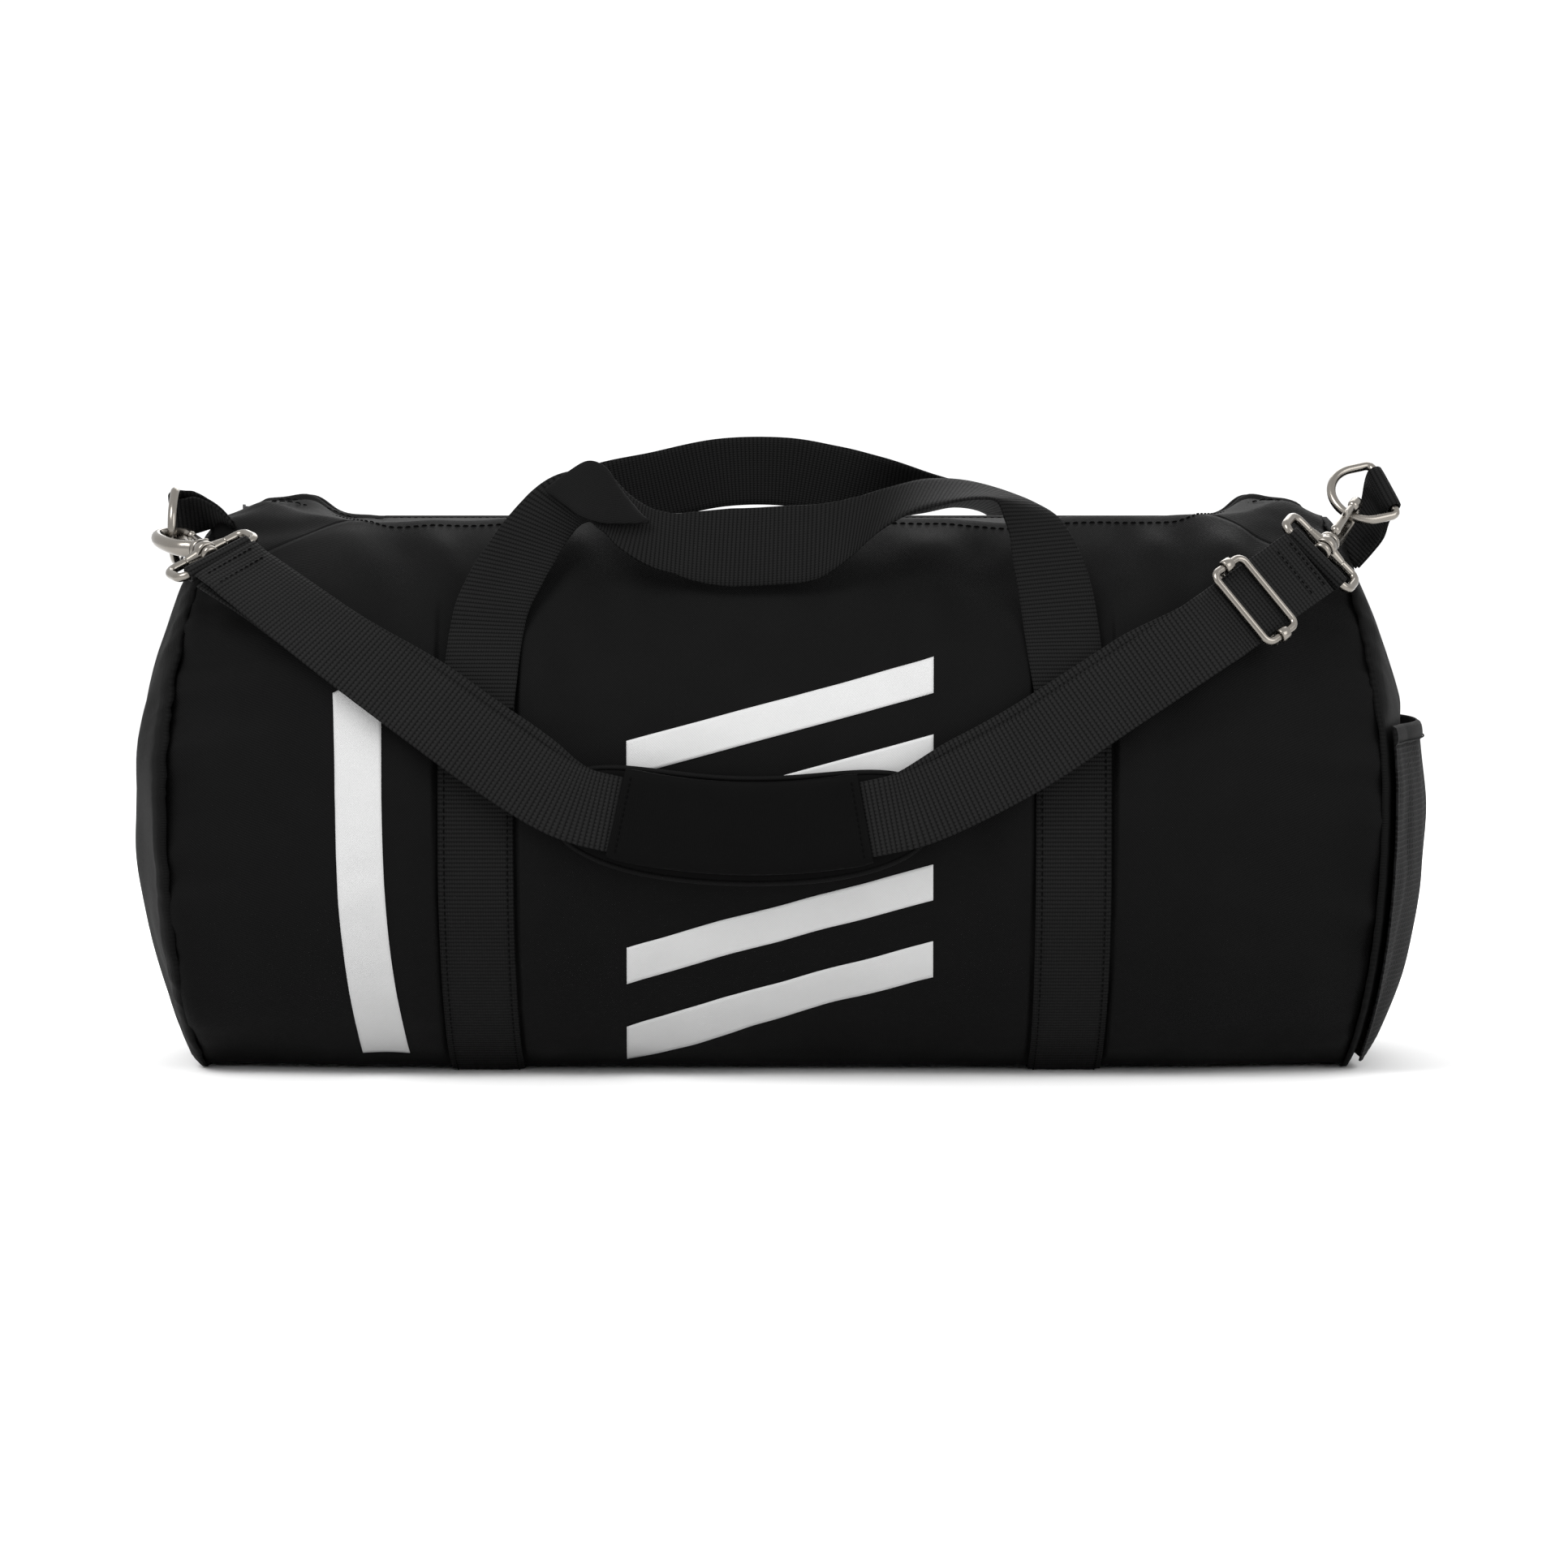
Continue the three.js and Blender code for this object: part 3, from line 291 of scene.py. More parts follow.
def stitch_row(P, N, pitch=3.2, length=2.4, r=0.34, lift=0.12):
    """thread stitches along P, lying on a surface with normals N"""
    C, M = resample(P, pitch, N)
    T = unit(np.gradient(C, axis=0))
    parts = []
    a = np.linspace(0, 2 * np.pi, 6, endpoint=False)
    for c, nn, t in zip(C[1:-1], M[1:-1], T[1:-1]):
        b = np.cross(t, nn)
        V = []
        for q, rr, up in ((-0.5, 0.35, -0.32), (-0.25, 0.95, 0.05), (0.25, 0.95, 0.05), (0.5, 0.35, -0.32)):
            o = c + t * q * length + nn * (lift + up)
            V += [o + rr * r * (math.cos(x) * nn + math.sin(x) * b) for x in a]
        parts.append((np.array(V), grid_faces(4, 6, close_m=True, flip=True) + [tuple(range(6)), tuple(reversed(range(18, 24)))], None))
    v, F, u = merge(parts)
    return v, F, u


# ------------------------------------------------------------------ the body's outer form
def section(x):
    t = smooth((np.abs(x) - 172) / 88)
    return HALF_DEPTH - 16 * t, SEMI_Z - 12 * t, SEMI_Z - t, 2.2 - 0.54 * t, 2.2


def hump(x, y, z):
    return np.where(z > MID_Z, 11 * bump((np.abs(x) - 229) / 40) * np.exp(-((y / 44) ** 2)) * (np.maximum(z - MID_Z, 0) / MID_Z) ** 4, 0)


def outline(x, ang, inset=0.0):
    a, top, low, n, nl = section(x)
    c, s = np.cos(ang), np.sin(ang)
    semi = np.where(s > 0, low, top) - inset
    e = np.where(s > 0, nl, n)
    y = -(a - inset) * spow(c, 2 / e)
    z = np.clip(MID_Z - semi * spow(s, 2 / e), inset, HEIGHT - inset)
    return y, z + hump(x, y, z)


def depthAt(x, z):
    a, top, low, n, nl = section(x)
    semi, e = np.where(z < MID_Z, low, top), np.where(z < MID_Z, nl, n)
    return a * np.maximum(0, 1 - np.abs((z - MID_Z) / semi) ** e) ** (1 / e)


def topAt(x, y):
    a, top, low, n, nl = section(x)
    z = np.minimum(HEIGHT, MID_Z + top * np.maximum(0, 1 - (np.abs(y) / a) ** n) ** (1 / n))
    return z + hump(x, y, z)


def seamAt(z, side=-1):
    return SEAM_X - np.where(np.asarray(side) > 0, RIGHT_SEAM_IN, 0.0) - np.where(z > MID_Z, 14 * ((z - MID_Z) / MID_Z) ** 2, 8 * ((MID_Z - z) / MID_Z) ** 2)


def stretch(x, z):
    ax = np.abs(x)
    return np.where(ax <= 180, x, np.sign(x) * (180 + (ax - 180) * (seamAt(np.minimum(z, HEIGHT), x) - 180) / (SEAM_X - 180)))


def surf_normal(x, ang, sgn=1):
    y1, z1 = outline(x, ang - 1e-3)
    y2, z2 = outline(x, ang + 1e-3)
    t = unit(np.stack([np.zeros_like(y1), y2 - y1, z2 - z1], -1))
    n = np.cross(t, A(1, 0, 0))
    return n


# soft folds of the fabric: x, slant, length down from the top, half width, height
_r = np.random.default_rng(11)
FOLDS = [(-92, 0.10, 62, 9, 2.6), (-78, 0.22, 46, 6, -1.8), (-60, -0.08, 55, 8, 1.6), (56, 0.10, 60, 9, 2.2), (70, 0.0, 85, 10, 2.8), (84, -0.12, 70, 7, -2.0),
         (-152, 0.35, 45, 7, 2.4), (-165, 0.25, 50, 7, -2.0), (-185, 0.2, 60, 10, 2.0), (160, 0.05, 60, 8, 2.6), (176, 0.0, 66, 7, -2.2), (192, -0.10, 56, 9, 2.4), (208, -0.2, 44, 7, -1.5),
         (148, 0.18, 40, 6, -1.8), (20, 0.02, 50, 12, 1.2), (-20, -0.02, 44, 10, -1.0)]
FOLDS_BACK = [(float(x), float(s), float(l), float(w), float(h)) for x, s, l, w, h in zip(_r.uniform(-210, 210, 16), _r.uniform(-.2, .2, 16), _r.uniform(40, 80, 16), _r.uniform(6, 11, 16), _r.uniform(-2.4, 2.8, 16))]
broad, medium, fine = waves(3, 9, 110, 240), waves(5, 12, 34, 80), waves(8, 14, 12, 26)
along = waves(21, 6, 22, 60)


def relief(x, y, z):
    """how far the shell's fabric stands from the plain form, mm"""
    front = y < 0
    d = 1.7 * broad(x, z * 1.3 + np.where(front, 0, 400)) + 0.8 * medium(x, z * 0.7 + np.where(front, 0, 300)) + 0.10 * fine(x, z + np.where(front, 0, 300))
    for folds, side in ((FOLDS, front), (FOLDS_BACK, ~front)):
        f = 0
        for x0, sl, ln, w, h in folds:
            f = f + h * np.exp(-((x - x0 - sl * (HEIGHT - z)) / (w * (1 + 0.5 * np.clip((HEIGHT - z) / 80, 0, 1)))) ** 2) * smooth((z - (HEIGHT - ln)) / (ln * 0.75)) * smooth((HEIGHT - 0.6 - z) / 15)
        d = d + np.where(side, f, 0)
    # gathers beside the end seams
    gap = np.maximum(0, seamAt(np.minimum(z, HEIGHT), x) - np.abs(x))
    arc = z * 1.15 + y * 0.35
    d = d + (0.30 + 0.16 * along(arc, x)) * np.exp(-gap / 13) * np.sin(2 * np.pi * arc / 13.5 + 2.2 * along(arc, 40 * np.sign(x)))
    d = d + 1.1 * np.exp(-gap / 40) * np.sin(2 * np.pi * arc / 37 + 1.5 * along(arc * 0.5, 90 * np.sign(x)))
    d = d - 2.0 * np.exp(-((gap / 2.6) ** 2))                       # turned in at the seam
    # the bands pull the fabric in
    for xm in BAND_X:
        u = np.abs(x - xm)
        fade = 1 - smooth((z - 188) / 26)
        d = d + 1.3 * np.exp(-(((u - 27) / 9) ** 2)) * fade
        d = lerp(d, -2.0 + 0.0 * d, (1 - smooth((u - 16.2) / 2.6)) * fade)
    # it lies flat where it stands, just above the bands' undersides
    d = lerp(d, -1.7, 1 - smooth(z / 16))
    return d


# ------------------------------------------------------------------ materials
def new_mat(name):
    m = bpy.data.materials.new(name)
    m.use_nodes = True
    nt = m.node_tree
    nt.nodes.clear()
    out = nt.nodes.new("ShaderNodeOutputMaterial")
    b = nt.nodes.new("ShaderNodeBsdfPrincipled")
    nt.links.new(b.outputs["BSDF"], out.inputs["Surface"])
    return m, nt, b


def node(nt, kind, **kw):
    n = nt.nodes.new(kind)
    for k, v in kw.items():
        if k in n.inputs.keys():
            n.inputs[k].default_value = v
        else:
            setattr(n, k, v)
    return n


def math_node(nt, op, a, b=None, c=None):
    n = nt.nodes.new("ShaderNodeMath")
    n.operation = op
    for i, v in enumerate((a, b, c)):
        if v is None:
            continue
        if isinstance(v, (int, float)):
            n.inputs[i].default_value = v
        else:
            nt.links.new(v, n.inputs[i])
    return n.outputs[0]


def ramp(nt, fac, stops):
    r = nt.nodes.new("ShaderNodeValToRGB")
    e = r.color_ramp.elements
    e[0].position, e[0].color = stops[0][0], (*stops[0][1], 1)
    e[1].position, e[1].color = stops[-1][0], (*stops[-1][1], 1)
    for p, c in stops[1:-1]:
        x = e.new(p)
        x.color = (*c, 1)
    nt.links.new(fac, r.inputs["Fac"])
    return r.outputs["Color"]


def weave(name, dark, light, pu, pv, rough, spec, depth, strength, sheen=0.0, mottled=0.35, basket=True, coords="UV", tint=(1, 1, 1)):
    """woven cloth, its colour darker between the threads as painted shade: pu, pv are the thread periods across and
    along, in metres
    """
    m, nt, b = new_mat(name)
    tc = nt.nodes.new("ShaderNodeTexCoord")
    sep = nt.nodes.new("ShaderNodeSeparateXYZ")
    nt.links.new(tc.outputs[coords], sep.inputs[0])
    u, v = sep.outputs[0], sep.outputs[1]
    su = math_node(nt, "SINE", math_node(nt, "MULTIPLY", u, 2 * math.pi / pu))
    sv = math_node(nt, "SINE", math_node(nt, "MULTIPLY", v, 2 * math.pi / pv))
    if basket:
        h = math_node(nt, "MULTIPLY_ADD", math_node(nt, "MULTIPLY", su, sv), 0.5, 0.5)
    else:  # ribs across the webbing, broken by the threads that run along it
        half = math_node(nt, "SINE", math_node(nt, "MULTIPLY_ADD", u, 2 * math.pi / pu, 0.0))
        rib = math_node(nt, "POWER", math_node(nt, "ABSOLUTE", math_node(nt, "SINE", math_node(nt, "MULTIPLY_ADD", v, math.pi / pv, math_node(nt, "MULTIPLY", half, 0.22)))), 0.6)
        h = math_node(nt, "MULTIPLY_ADD", half, 0.13, math_node(nt, "MULTIPLY", rib, 0.87))
    noise = node(nt, "ShaderNodeTexNoise", Scale=55.0, Detail=4.0)
    nt.links.new(tc.outputs["Object"], noise.inputs["Vector"])
    thread = node(nt, "ShaderNodeTexNoise", Scale=900.0, Detail=2.0)
    nt.links.new(tc.outputs["Object"], thread.inputs["Vector"])
    # colour: the weave height h paints the hollows and rib grooves darker (painted shade); the noise share, mottled,
    # is random tone of the yarn
    f = math_node(nt, "ADD", math_node(nt, "MULTIPLY", h, 1 - mottled), math_node(nt, "MULTIPLY", math_node(nt, "ADD", math_node(nt, "MULTIPLY", noise.outputs["Fac"], 0.6), math_node(nt, "MULTIPLY", thread.outputs["Fac"], 0.4)), mottled))
    col = ramp(nt, f, [(0.12, [dark * t for t in tint]), (0.9, [light * t for t in tint])])
    nt.links.new(col, b.inputs["Base Color"])
    rr = math_node(nt, "MULTIPLY_ADD", thread.outputs["Fac"], 0.16, rough - 0.08)
    nt.links.new(rr, b.inputs["Roughness"])
    b.inputs["Specular IOR Level"].default_value = spec
    if sheen:
        b.inputs["Sheen Weight"].default_value = sheen
        b.inputs["Sheen Roughness"].default_value = 0.45
    bp = node(nt, "ShaderNodeBump", Strength=strength, Distance=depth)
    nt.links.new(math_node(nt, "ADD", h, math_node(nt, "MULTIPLY", thread.outputs["Fac"], 0.35)), bp.inputs["Height"])
    nt.links.new(bp.outputs["Normal"], b.inputs["Normal"])
    return m


def metal(name, colour, rough, wear=0.05, bumpiness=0.12):
    m, nt, b = new_mat(name)
    tc = nt.nodes.new("ShaderNodeTexCoord")
    n1 = node(nt, "ShaderNodeTexNoise", Scale=160.0, Detail=5.0)
    n2 = node(nt, "ShaderNodeTexNoise", Scale=35.0, Detail=2.0)
    for n in (n1, n2):
        nt.links.new(tc.outputs["Object"], n.inputs["Vector"])
    col = ramp(nt, n2.outputs["Fac"], [(0.3, [c * (1 - wear) for c in colour]), (0.7, [min(1, c * (1 + wear)) for c in colour])])
    nt.links.new(col, b.inputs["Base Color"])
    nt.links.new(math_node(nt, "MULTIPLY_ADD", n1.outputs["Fac"], 0.16, rough - 0.08), b.inputs["Roughness"])
    b.inputs["Metallic"].default_value = 1.0
    bp = node(nt, "ShaderNodeBump", Strength=bumpiness, Distance=0.00015)
    nt.links.new(n1.outputs["Fac"], bp.inputs["Height"])
    nt.links.new(bp.outputs["Normal"], b.inputs["Normal"])
    return m


FABRIC = weave("bag_fabric", 0.0008, 0.0042, 0.0011, 0.0011, 0.66, 0.045, 0.00022, 0.45)
PRINT = weave("printed_fabric", 0.38, 0.45, 0.0011, 0.0011, 0.80, 0.15, 0.00015, 0.35, mottled=0.5)
WEBBING = weave("webbing_ribs", 0.0005, 0.0082, 0.0011, 0.0018, 0.66, 0.045, 0.00045, 0.75, mottled=0.22, basket=False)
STRAPWEB = weave("strap_ribs", 0.0005, 0.0100, 0.0016, 0.0021, 0.64, 0.05, 0.0005, 0.8, mottled=0.2, basket=False)
SMOOTHWEB = weave("webbing_reverse", 0.0010, 0.0058, 0.0009, 0.0012, 0.66, 0.05, 0.0003, 0.5, mottled=0.3, basket=True)
PADMAT = weave("pad_cloth", 0.0008, 0.0022, 0.0008, 0.0008, 0.62, 0.035, 0.00012, 0.3, mottled=0.5)
THREAD = weave("thread", 0.0004, 0.0016, 0.0005, 0.0007, 0.65, 0.03, 0.0001, 0.4, mottled=0.5)
TAPE = weave("zip_tape", 0.0010, 0.0050, 0.0009, 0.0009, 0.7, 0.05, 0.0002, 0.5)
NICKEL = metal("satin_nickel", (0.205, 0.190, 0.170), 0.24)
GUNMETAL = metal("gunmetal", (0.055, 0.055, 0.058), 0.36)


def plastic(name, colour, rough):
    m, nt, b = new_mat(name)
    tc = nt.nodes.new("ShaderNodeTexCoord")
    n1 = node(nt, "ShaderNodeTexNoise", Scale=400.0, Detail=4.0)
    nt.links.new(tc.outputs["Object"], n1.inputs["Vector"])
    nt.links.new(ramp(nt, n1.outputs["Fac"], [(0.3, [c * 0.8 for c in colour]), (0.7, [c * 1.25 for c in colour])]), b.inputs["Base Color"])
    nt.links.new(math_node(nt, "MULTIPLY_ADD", n1.outputs["Fac"], 0.2, rough - 0.1), b.inputs["Roughness"])
    bp = node(nt, "ShaderNodeBump", Strength=0.15, Distance=0.0001)
    nt.links.new(n1.outputs["Fac"], bp.inputs["Height"])
    nt.links.new(bp.outputs["Normal"], b.inputs["Normal"])
    return m


TEETH = plastic("zip_teeth_plastic", (0.004, 0.004, 0.0043), 0.42)


def net(name):
    m, nt, b = new_mat(name)
    tc = nt.nodes.new("ShaderNodeTexCoord")
    vor = node(nt, "ShaderNodeTexVoronoi", Scale=430.0)
    vor.feature = "DISTANCE_TO_EDGE"
    vor.inputs["Randomness"].default_value = 0.22
    nt.links.new(tc.outputs["UV"], vor.inputs["Vector"])
    # the open cells of the net are painted near-black: painted shade in the holes, darker than the black panel behind
    # them; the threads at the cell edges keep the net's own black
    col = ramp(nt, vor.outputs["Distance"], [(0.10, (0.0042, 0.0042, 0.0044)), (0.26, (0.0002, 0.0002, 0.0002))])
    nt.links.new(col, b.inputs["Base Color"])
    b.inputs["Roughness"].default_value = 0.7
    b.inputs["Specular IOR Level"].default_value = 0.06
    inv = math_node(nt, "SUBTRACT", 0.3, math_node(nt, "MINIMUM", vor.outputs["Distance"], 0.3))
    bp = node(nt, "ShaderNodeBump", Strength=0.9, Distance=0.0012)
    nt.links.new(inv, bp.inputs["Height"])
    nt.links.new(bp.outputs["Normal"], b.inputs["Normal"])
    return m


MESH = net("pocket_net")

# ------------------------------------------------------------------ wraparound shell
NV = 250
xs = np.arange(-263.8, 263.9, 2.35)
for xm in BAND_X:
    xs = xs[(np.abs(np.abs(xs - xm) - 17.4) > 2.6)]
    for u in (14.8, 15.8, 16.5, 17.1, 17.8, 18.5, 19.3, 20.3):
        xs = np.append(xs, [xm - u, xm + u])
xs = np.unique(np.round(np.append(xs, [-263.8, 263.8]), 3))


def shell_column(x0, n=NV, edge=EDGE_Y):
    a, top, low, nn, nl = section(x0)
    start = -math.acos(min(1.0, (edge / a) ** (nn / 2)))
    ang = np.linspace(start, math.pi - start, 1400)
    y, z = outline(x0, ang)
    s = np.concatenate([[0], np.cumsum(np.hypot(np.diff(y), np.diff(z)))])
    t = np.linspace(0, s[-1], n)
    return np.interp(t, s, y), np.interp(t, s, z), t


P = np.zeros((len(xs), NV, 3))
UVs = np.zeros((len(xs), NV, 2))
for i, x0 in enumerate(xs):
    y, z, t = shell_column(float(x0))
    P[i, :, 0] = stretch(np.full(NV, x0), z)
    P[i, :, 1], P[i, :, 2] = y, z
    UVs[i, :, 0], UVs[i, :, 1] = x0, t
N = normals(P)
N *= np.sign((N * (P - A(0, 0, MID_Z)) * A(0, 1, 1)).sum(-1, keepdims=True))
D = relief(P[..., 0], P[..., 1], P[..., 2])
rim = np.minimum(UVs[..., 1], UVs[..., 1].max(1, keepdims=True) - UVs[..., 1])
SH = P + N * D[..., None]
v, f, u = slab(SH, N, 2.4, UVs)
make("shell", v, f, FABRIC, uv=u, body="bag_body", replaces=("main_panel",))


def on_shell(x, z, side=-1, lift=0.0):
    """a point on the shell's outer face at body x and height z"""
    x, z = np.broadcast_arrays(np.asarray(x, float), np.asarray(z, float))
    y = side * depthAt(x, z)
    e = 1.0
    gz = (depthAt(x, z + e) - depthAt(x, z - e)) / (2 * e)
    gx = (depthAt(x + e, z) - depthAt(x - e, z)) / (2 * e)
    n = unit(np.stack([-gx, np.full_like(x, side, dtype=float), -gz], -1))
    p = np.stack([stretch(x, z), y, z], -1)
    d = relief(p[..., 0], p[..., 1], p[..., 2]) + lift
    return p + n * d[..., None], n


# ------------------------------------------------------------------ top: flaps and zip facings
def top_relief(x, y):
    return 0.7 * medium(x * 1.1, y * 1.4 + 60) + 0.25 * fine(x, y)


def welt(y):
    return 1.1 * bump((np.abs(y) - 10.6) / 3.2) - 0.5 * bump((np.abs(y) - 14.6) / 1.6)


for side, name in ((-1, "front"), (1, "back")):
    gx = np.linspace(-178.3, 178.3, 150)
    gy = np.concatenate([np.linspace(EDGE_Y, 17, 18), np.linspace(16.2, 8.4, 13)]) * side
    X, Y = np.meshgrid(gx, gy, indexing="ij")
    Z = HEIGHT + relief(X, Y, np.full_like(X, HEIGHT)) * smooth((np.abs(Y) - 12) / 30) + welt(Y)
    G = np.stack([X, Y, Z], -1)
    Nn = normals(G)
    Nn *= np.sign(Nn[..., 2:3])
    T = np.where(np.abs(Y) > 15, 2.4, 0.5)
    v, f, u = slab(G, Nn, T, np.stack([X, Y], -1))
    o = make(name + "_mouth_flap", v, f, FABRIC, uv=u, replaces=(name + "_flap",))
    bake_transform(o)

for side, name in ((-1, "left"), (1, "right")):
    WALL = 180 + (CHAIN_END + 3.2 - 180) * 84 / (float(seamAt(HEIGHT, side)) - 180)
    gx = np.concatenate([np.linspace(178.3, 228, 28), np.linspace(229.5, WALL + 6, 12), np.linspace(WALL + 7.5, 263.8, 14)])
    half = np.concatenate([np.linspace(EDGE_Y, 17, 20), np.linspace(15.8, 7.0, 14), [6.4, 4.5, 2.2]])
    gy = np.concatenate([-half, [0], half[::-1]])
    X0, Y = np.meshgrid(gx * side, gy, indexing="ij")
    base = topAt(X0, Y)
    edge = smooth((EDGE_Y - np.abs(Y)) / 6) * smooth((np.abs(X0) - 178.3) / 8)
    XX = stretch(X0, base)
    gap = np.maximum(0, 263.8 - np.abs(X0))
    B0 = np.stack([XX, Y, base], -1)
    Nb = normals(B0)
    Nb *= np.sign(Nb[..., 2:3])
    rel = relief(XX, Y, base) * smooth((np.abs(Y) - 8) / 22)
    rel = rel + edge * (0.45 * np.exp(-gap / 14) * np.sin(2 * np.pi * Y / 12.5 + 1.3 * along(Y, 30 * side)))
    rel = rel + edge * 1.5 * np.sin(2 * np.pi * (np.abs(X0) - 185 + 0.5 * np.abs(Y)) / 31) * np.exp(-(((np.abs(X0) - 215) / 26) ** 2)) * np.exp(-((Y / 40) ** 2))
    slot_on = 1 - smooth((np.abs(X0) - WALL) / 5)
    G = B0 + Nb * (rel + welt(Y) * slot_on)[..., None]
    G[..., 2] = lerp(G[..., 2], HEIGHT - 2.6, (1 - smooth((np.abs(Y) - 6.6) / 2.0)) * slot_on)
    Nn = normals(G)
    Nn *= np.sign(Nn[..., 2:3])
    v, f, u = slab(G, Nn, 1.6, np.stack([X0, Y], -1))
    make(name + "_zip_end_fabric", v, f, FABRIC, uv=u, body="bag_body", replaces=(name + "_zip_facing",))
    parts = []
    for sy in (-1, 1):  # topstitching beside the zip's end
        px = np.linspace(178.6, 244, 60) * side
        py = np.full(60, 14.6 * sy)
        pz = topAt(px, py) + welt(py)
        parts.append(stitch_row(np.stack([stretch(px, pz), py, pz], -1), np.tile(A(0, 0, 1), (60, 1))))
    v, f, u = merge(parts)
    make(name + "_zip_end_stitching", v, f, THREAD, uv=u, body="bag_body")

for side, name in ((-1, "front"), (1, "back")):
    px = np.linspace(-177, 177, 120)
    row = np.stack([px, np.full(120, 14.6 * side), np.full(120, HEIGHT + 0.0)], -1)
    v, f, u = stitch_row(row, np.tile(A(0, 0, 1), (120, 1)), lift=0.0)
    make(name + "_flap_stitching", v, f, THREAD, uv=u, body=name + "_flap_body")
    # topstitch along the shoulder, running up onto the zip ends
    px = np.linspace(-240, 240, 260)
    yy = lerp(74.0, 22.0, smooth((np.abs(px) - 168) / 55)) * side
    zz = topAt(px, yy)
    e = 1.0
    nn = unit(np.stack([-(topAt(px + e, yy) - topAt(px - e, yy)) / 2, -(topAt(px, yy + e) - topAt(px, yy - e)) / 2, np.ones(260)], -1))
    row = np.stack([stretch(px, zz), yy, zz], -1)
    row = row + nn * (relief(row[:, 0], row[:, 1], row[:, 2]) * smooth((np.abs(yy) - 8) / 22) + 0.1)[:, None]
    v, f, u = stitch_row(row, nn, pitch=3.6, length=2.7, r=0.36)
    make(name + "_shoulder_stitching", v, f, THREAD, uv=u, body="bag_body")


# ------------------------------------------------------------------ zip
def tooth(x, y0, y1, sgn):
    """one moulded tooth: a rounded bar from y0 to y1 with a broad head at y1"""
    V = []
    for t, wx, hz in ((0, 0.42, 0.75), (0.35, 0.5, 1.05), (0.75, 0.62, 1.12), (1.0, 0.45, 0.8)):
        y = lerp(y0, y1, t)
        for k in range(8):
            a = 2 * np.pi * (k + 0.5) / 8
            V.append((x + wx * 1.08 * math.cos(a), y, CHAIN_Z + hz * 1.08 * math.sin(a)))
    F = grid_faces(4, 8, close_m=True) + [tuple(range(8)), tuple(reversed(range(24, 32)))]
    V = np.array(V)
    return V, (F if sgn > 0 else [tuple(reversed(q)) for q in F]), None


def chain(name, side, x0, x1, body, replaces=()):
    parts = []
    p = 2.3
    k0, k1 = math.ceil(x0 / p + 0.5), math.floor(x1 / p - 0.5)
    for k in range(k0, k1 + 1):
        parts.append(tooth(k * p + (0.5 * p if side > 0 else 0), side * 3.3, side * -0.55 if False else side * 0.15, side))
    # the cord the teeth are moulded on
    parts.append(tube(np.stack([np.linspace(x0 + 1, x1 - 1, 60), np.full(60, side * 3.35), np.full(60, CHAIN_Z)], -1), 0.7, 8))
    v, f, u = merge(parts)
    return make(name, v, f, TEETH, uv=u, body=body, replaces=replaces)


def tape(name, side, x0, x1, body, replaces=()):
    n = 80
    c = np.stack([np.linspace(x0, x1, n), np.full(n, side * 7.6), np.full(n, CHAIN_Z - 0.05)], -1)
    v, f, u = ribbon(c, np.tile(A(0, 1, 0), (n, 1)), np.tile(A(0, 0, 1), (n, 1)), 11.6, 0.62, across=6, crown=0.0)
    return make(name, v, f, TAPE, uv=u, body=body, replaces=replaces)


for side, name in ((-1, "front"), (1, "back")):
    chain("teeth_" + name, side, -178.2, 178.2, name + "_flap_body", ("zip_teeth_" + name,))
    tape("tape_" + name, side, -178.2, 178.2, name + "_flap_body", ("zip_tape_" + name,))
for sx, end in ((-1, "left"), (1, "right")):
    a, b = sorted((sx * 178.4, sx * 226.5))
    for side, name in ((-1, "front"), (1, "back")):
        chain(end + "_end_teeth_" + name, side, a, b, "bag_body", (end + "_zip_end",) if side < 0 else ())
        a2, b2 = sorted((sx * 178.4, sx * 230.0))
        tape(end + "_end_tape_" + name, side, a2, b2, "bag_body")
    st = [(-4.0, 0), (-4.0, 0.9), (-3.4, 1.5), (3.4, 1.5), (4.0, 0.9), (4.0, 0)]
    v, f, u = lathe(st[1:-1], A(sx * (CHAIN_END - 0.4), 0, CHAIN_Z + 0.1), A(0, 1, 0), 14)
    make(end + "_zip_stop", v, f, GUNMETAL, uv=u, body="bag_body")


# ------------------------------------------------------------------ ends
def dome_x(dome, r, z_edge, side):
    return (dome - SHELL) - (dome - SHELL - (seamAt(z_edge, side) + 0.2)) * np.asarray(r) ** 2.2


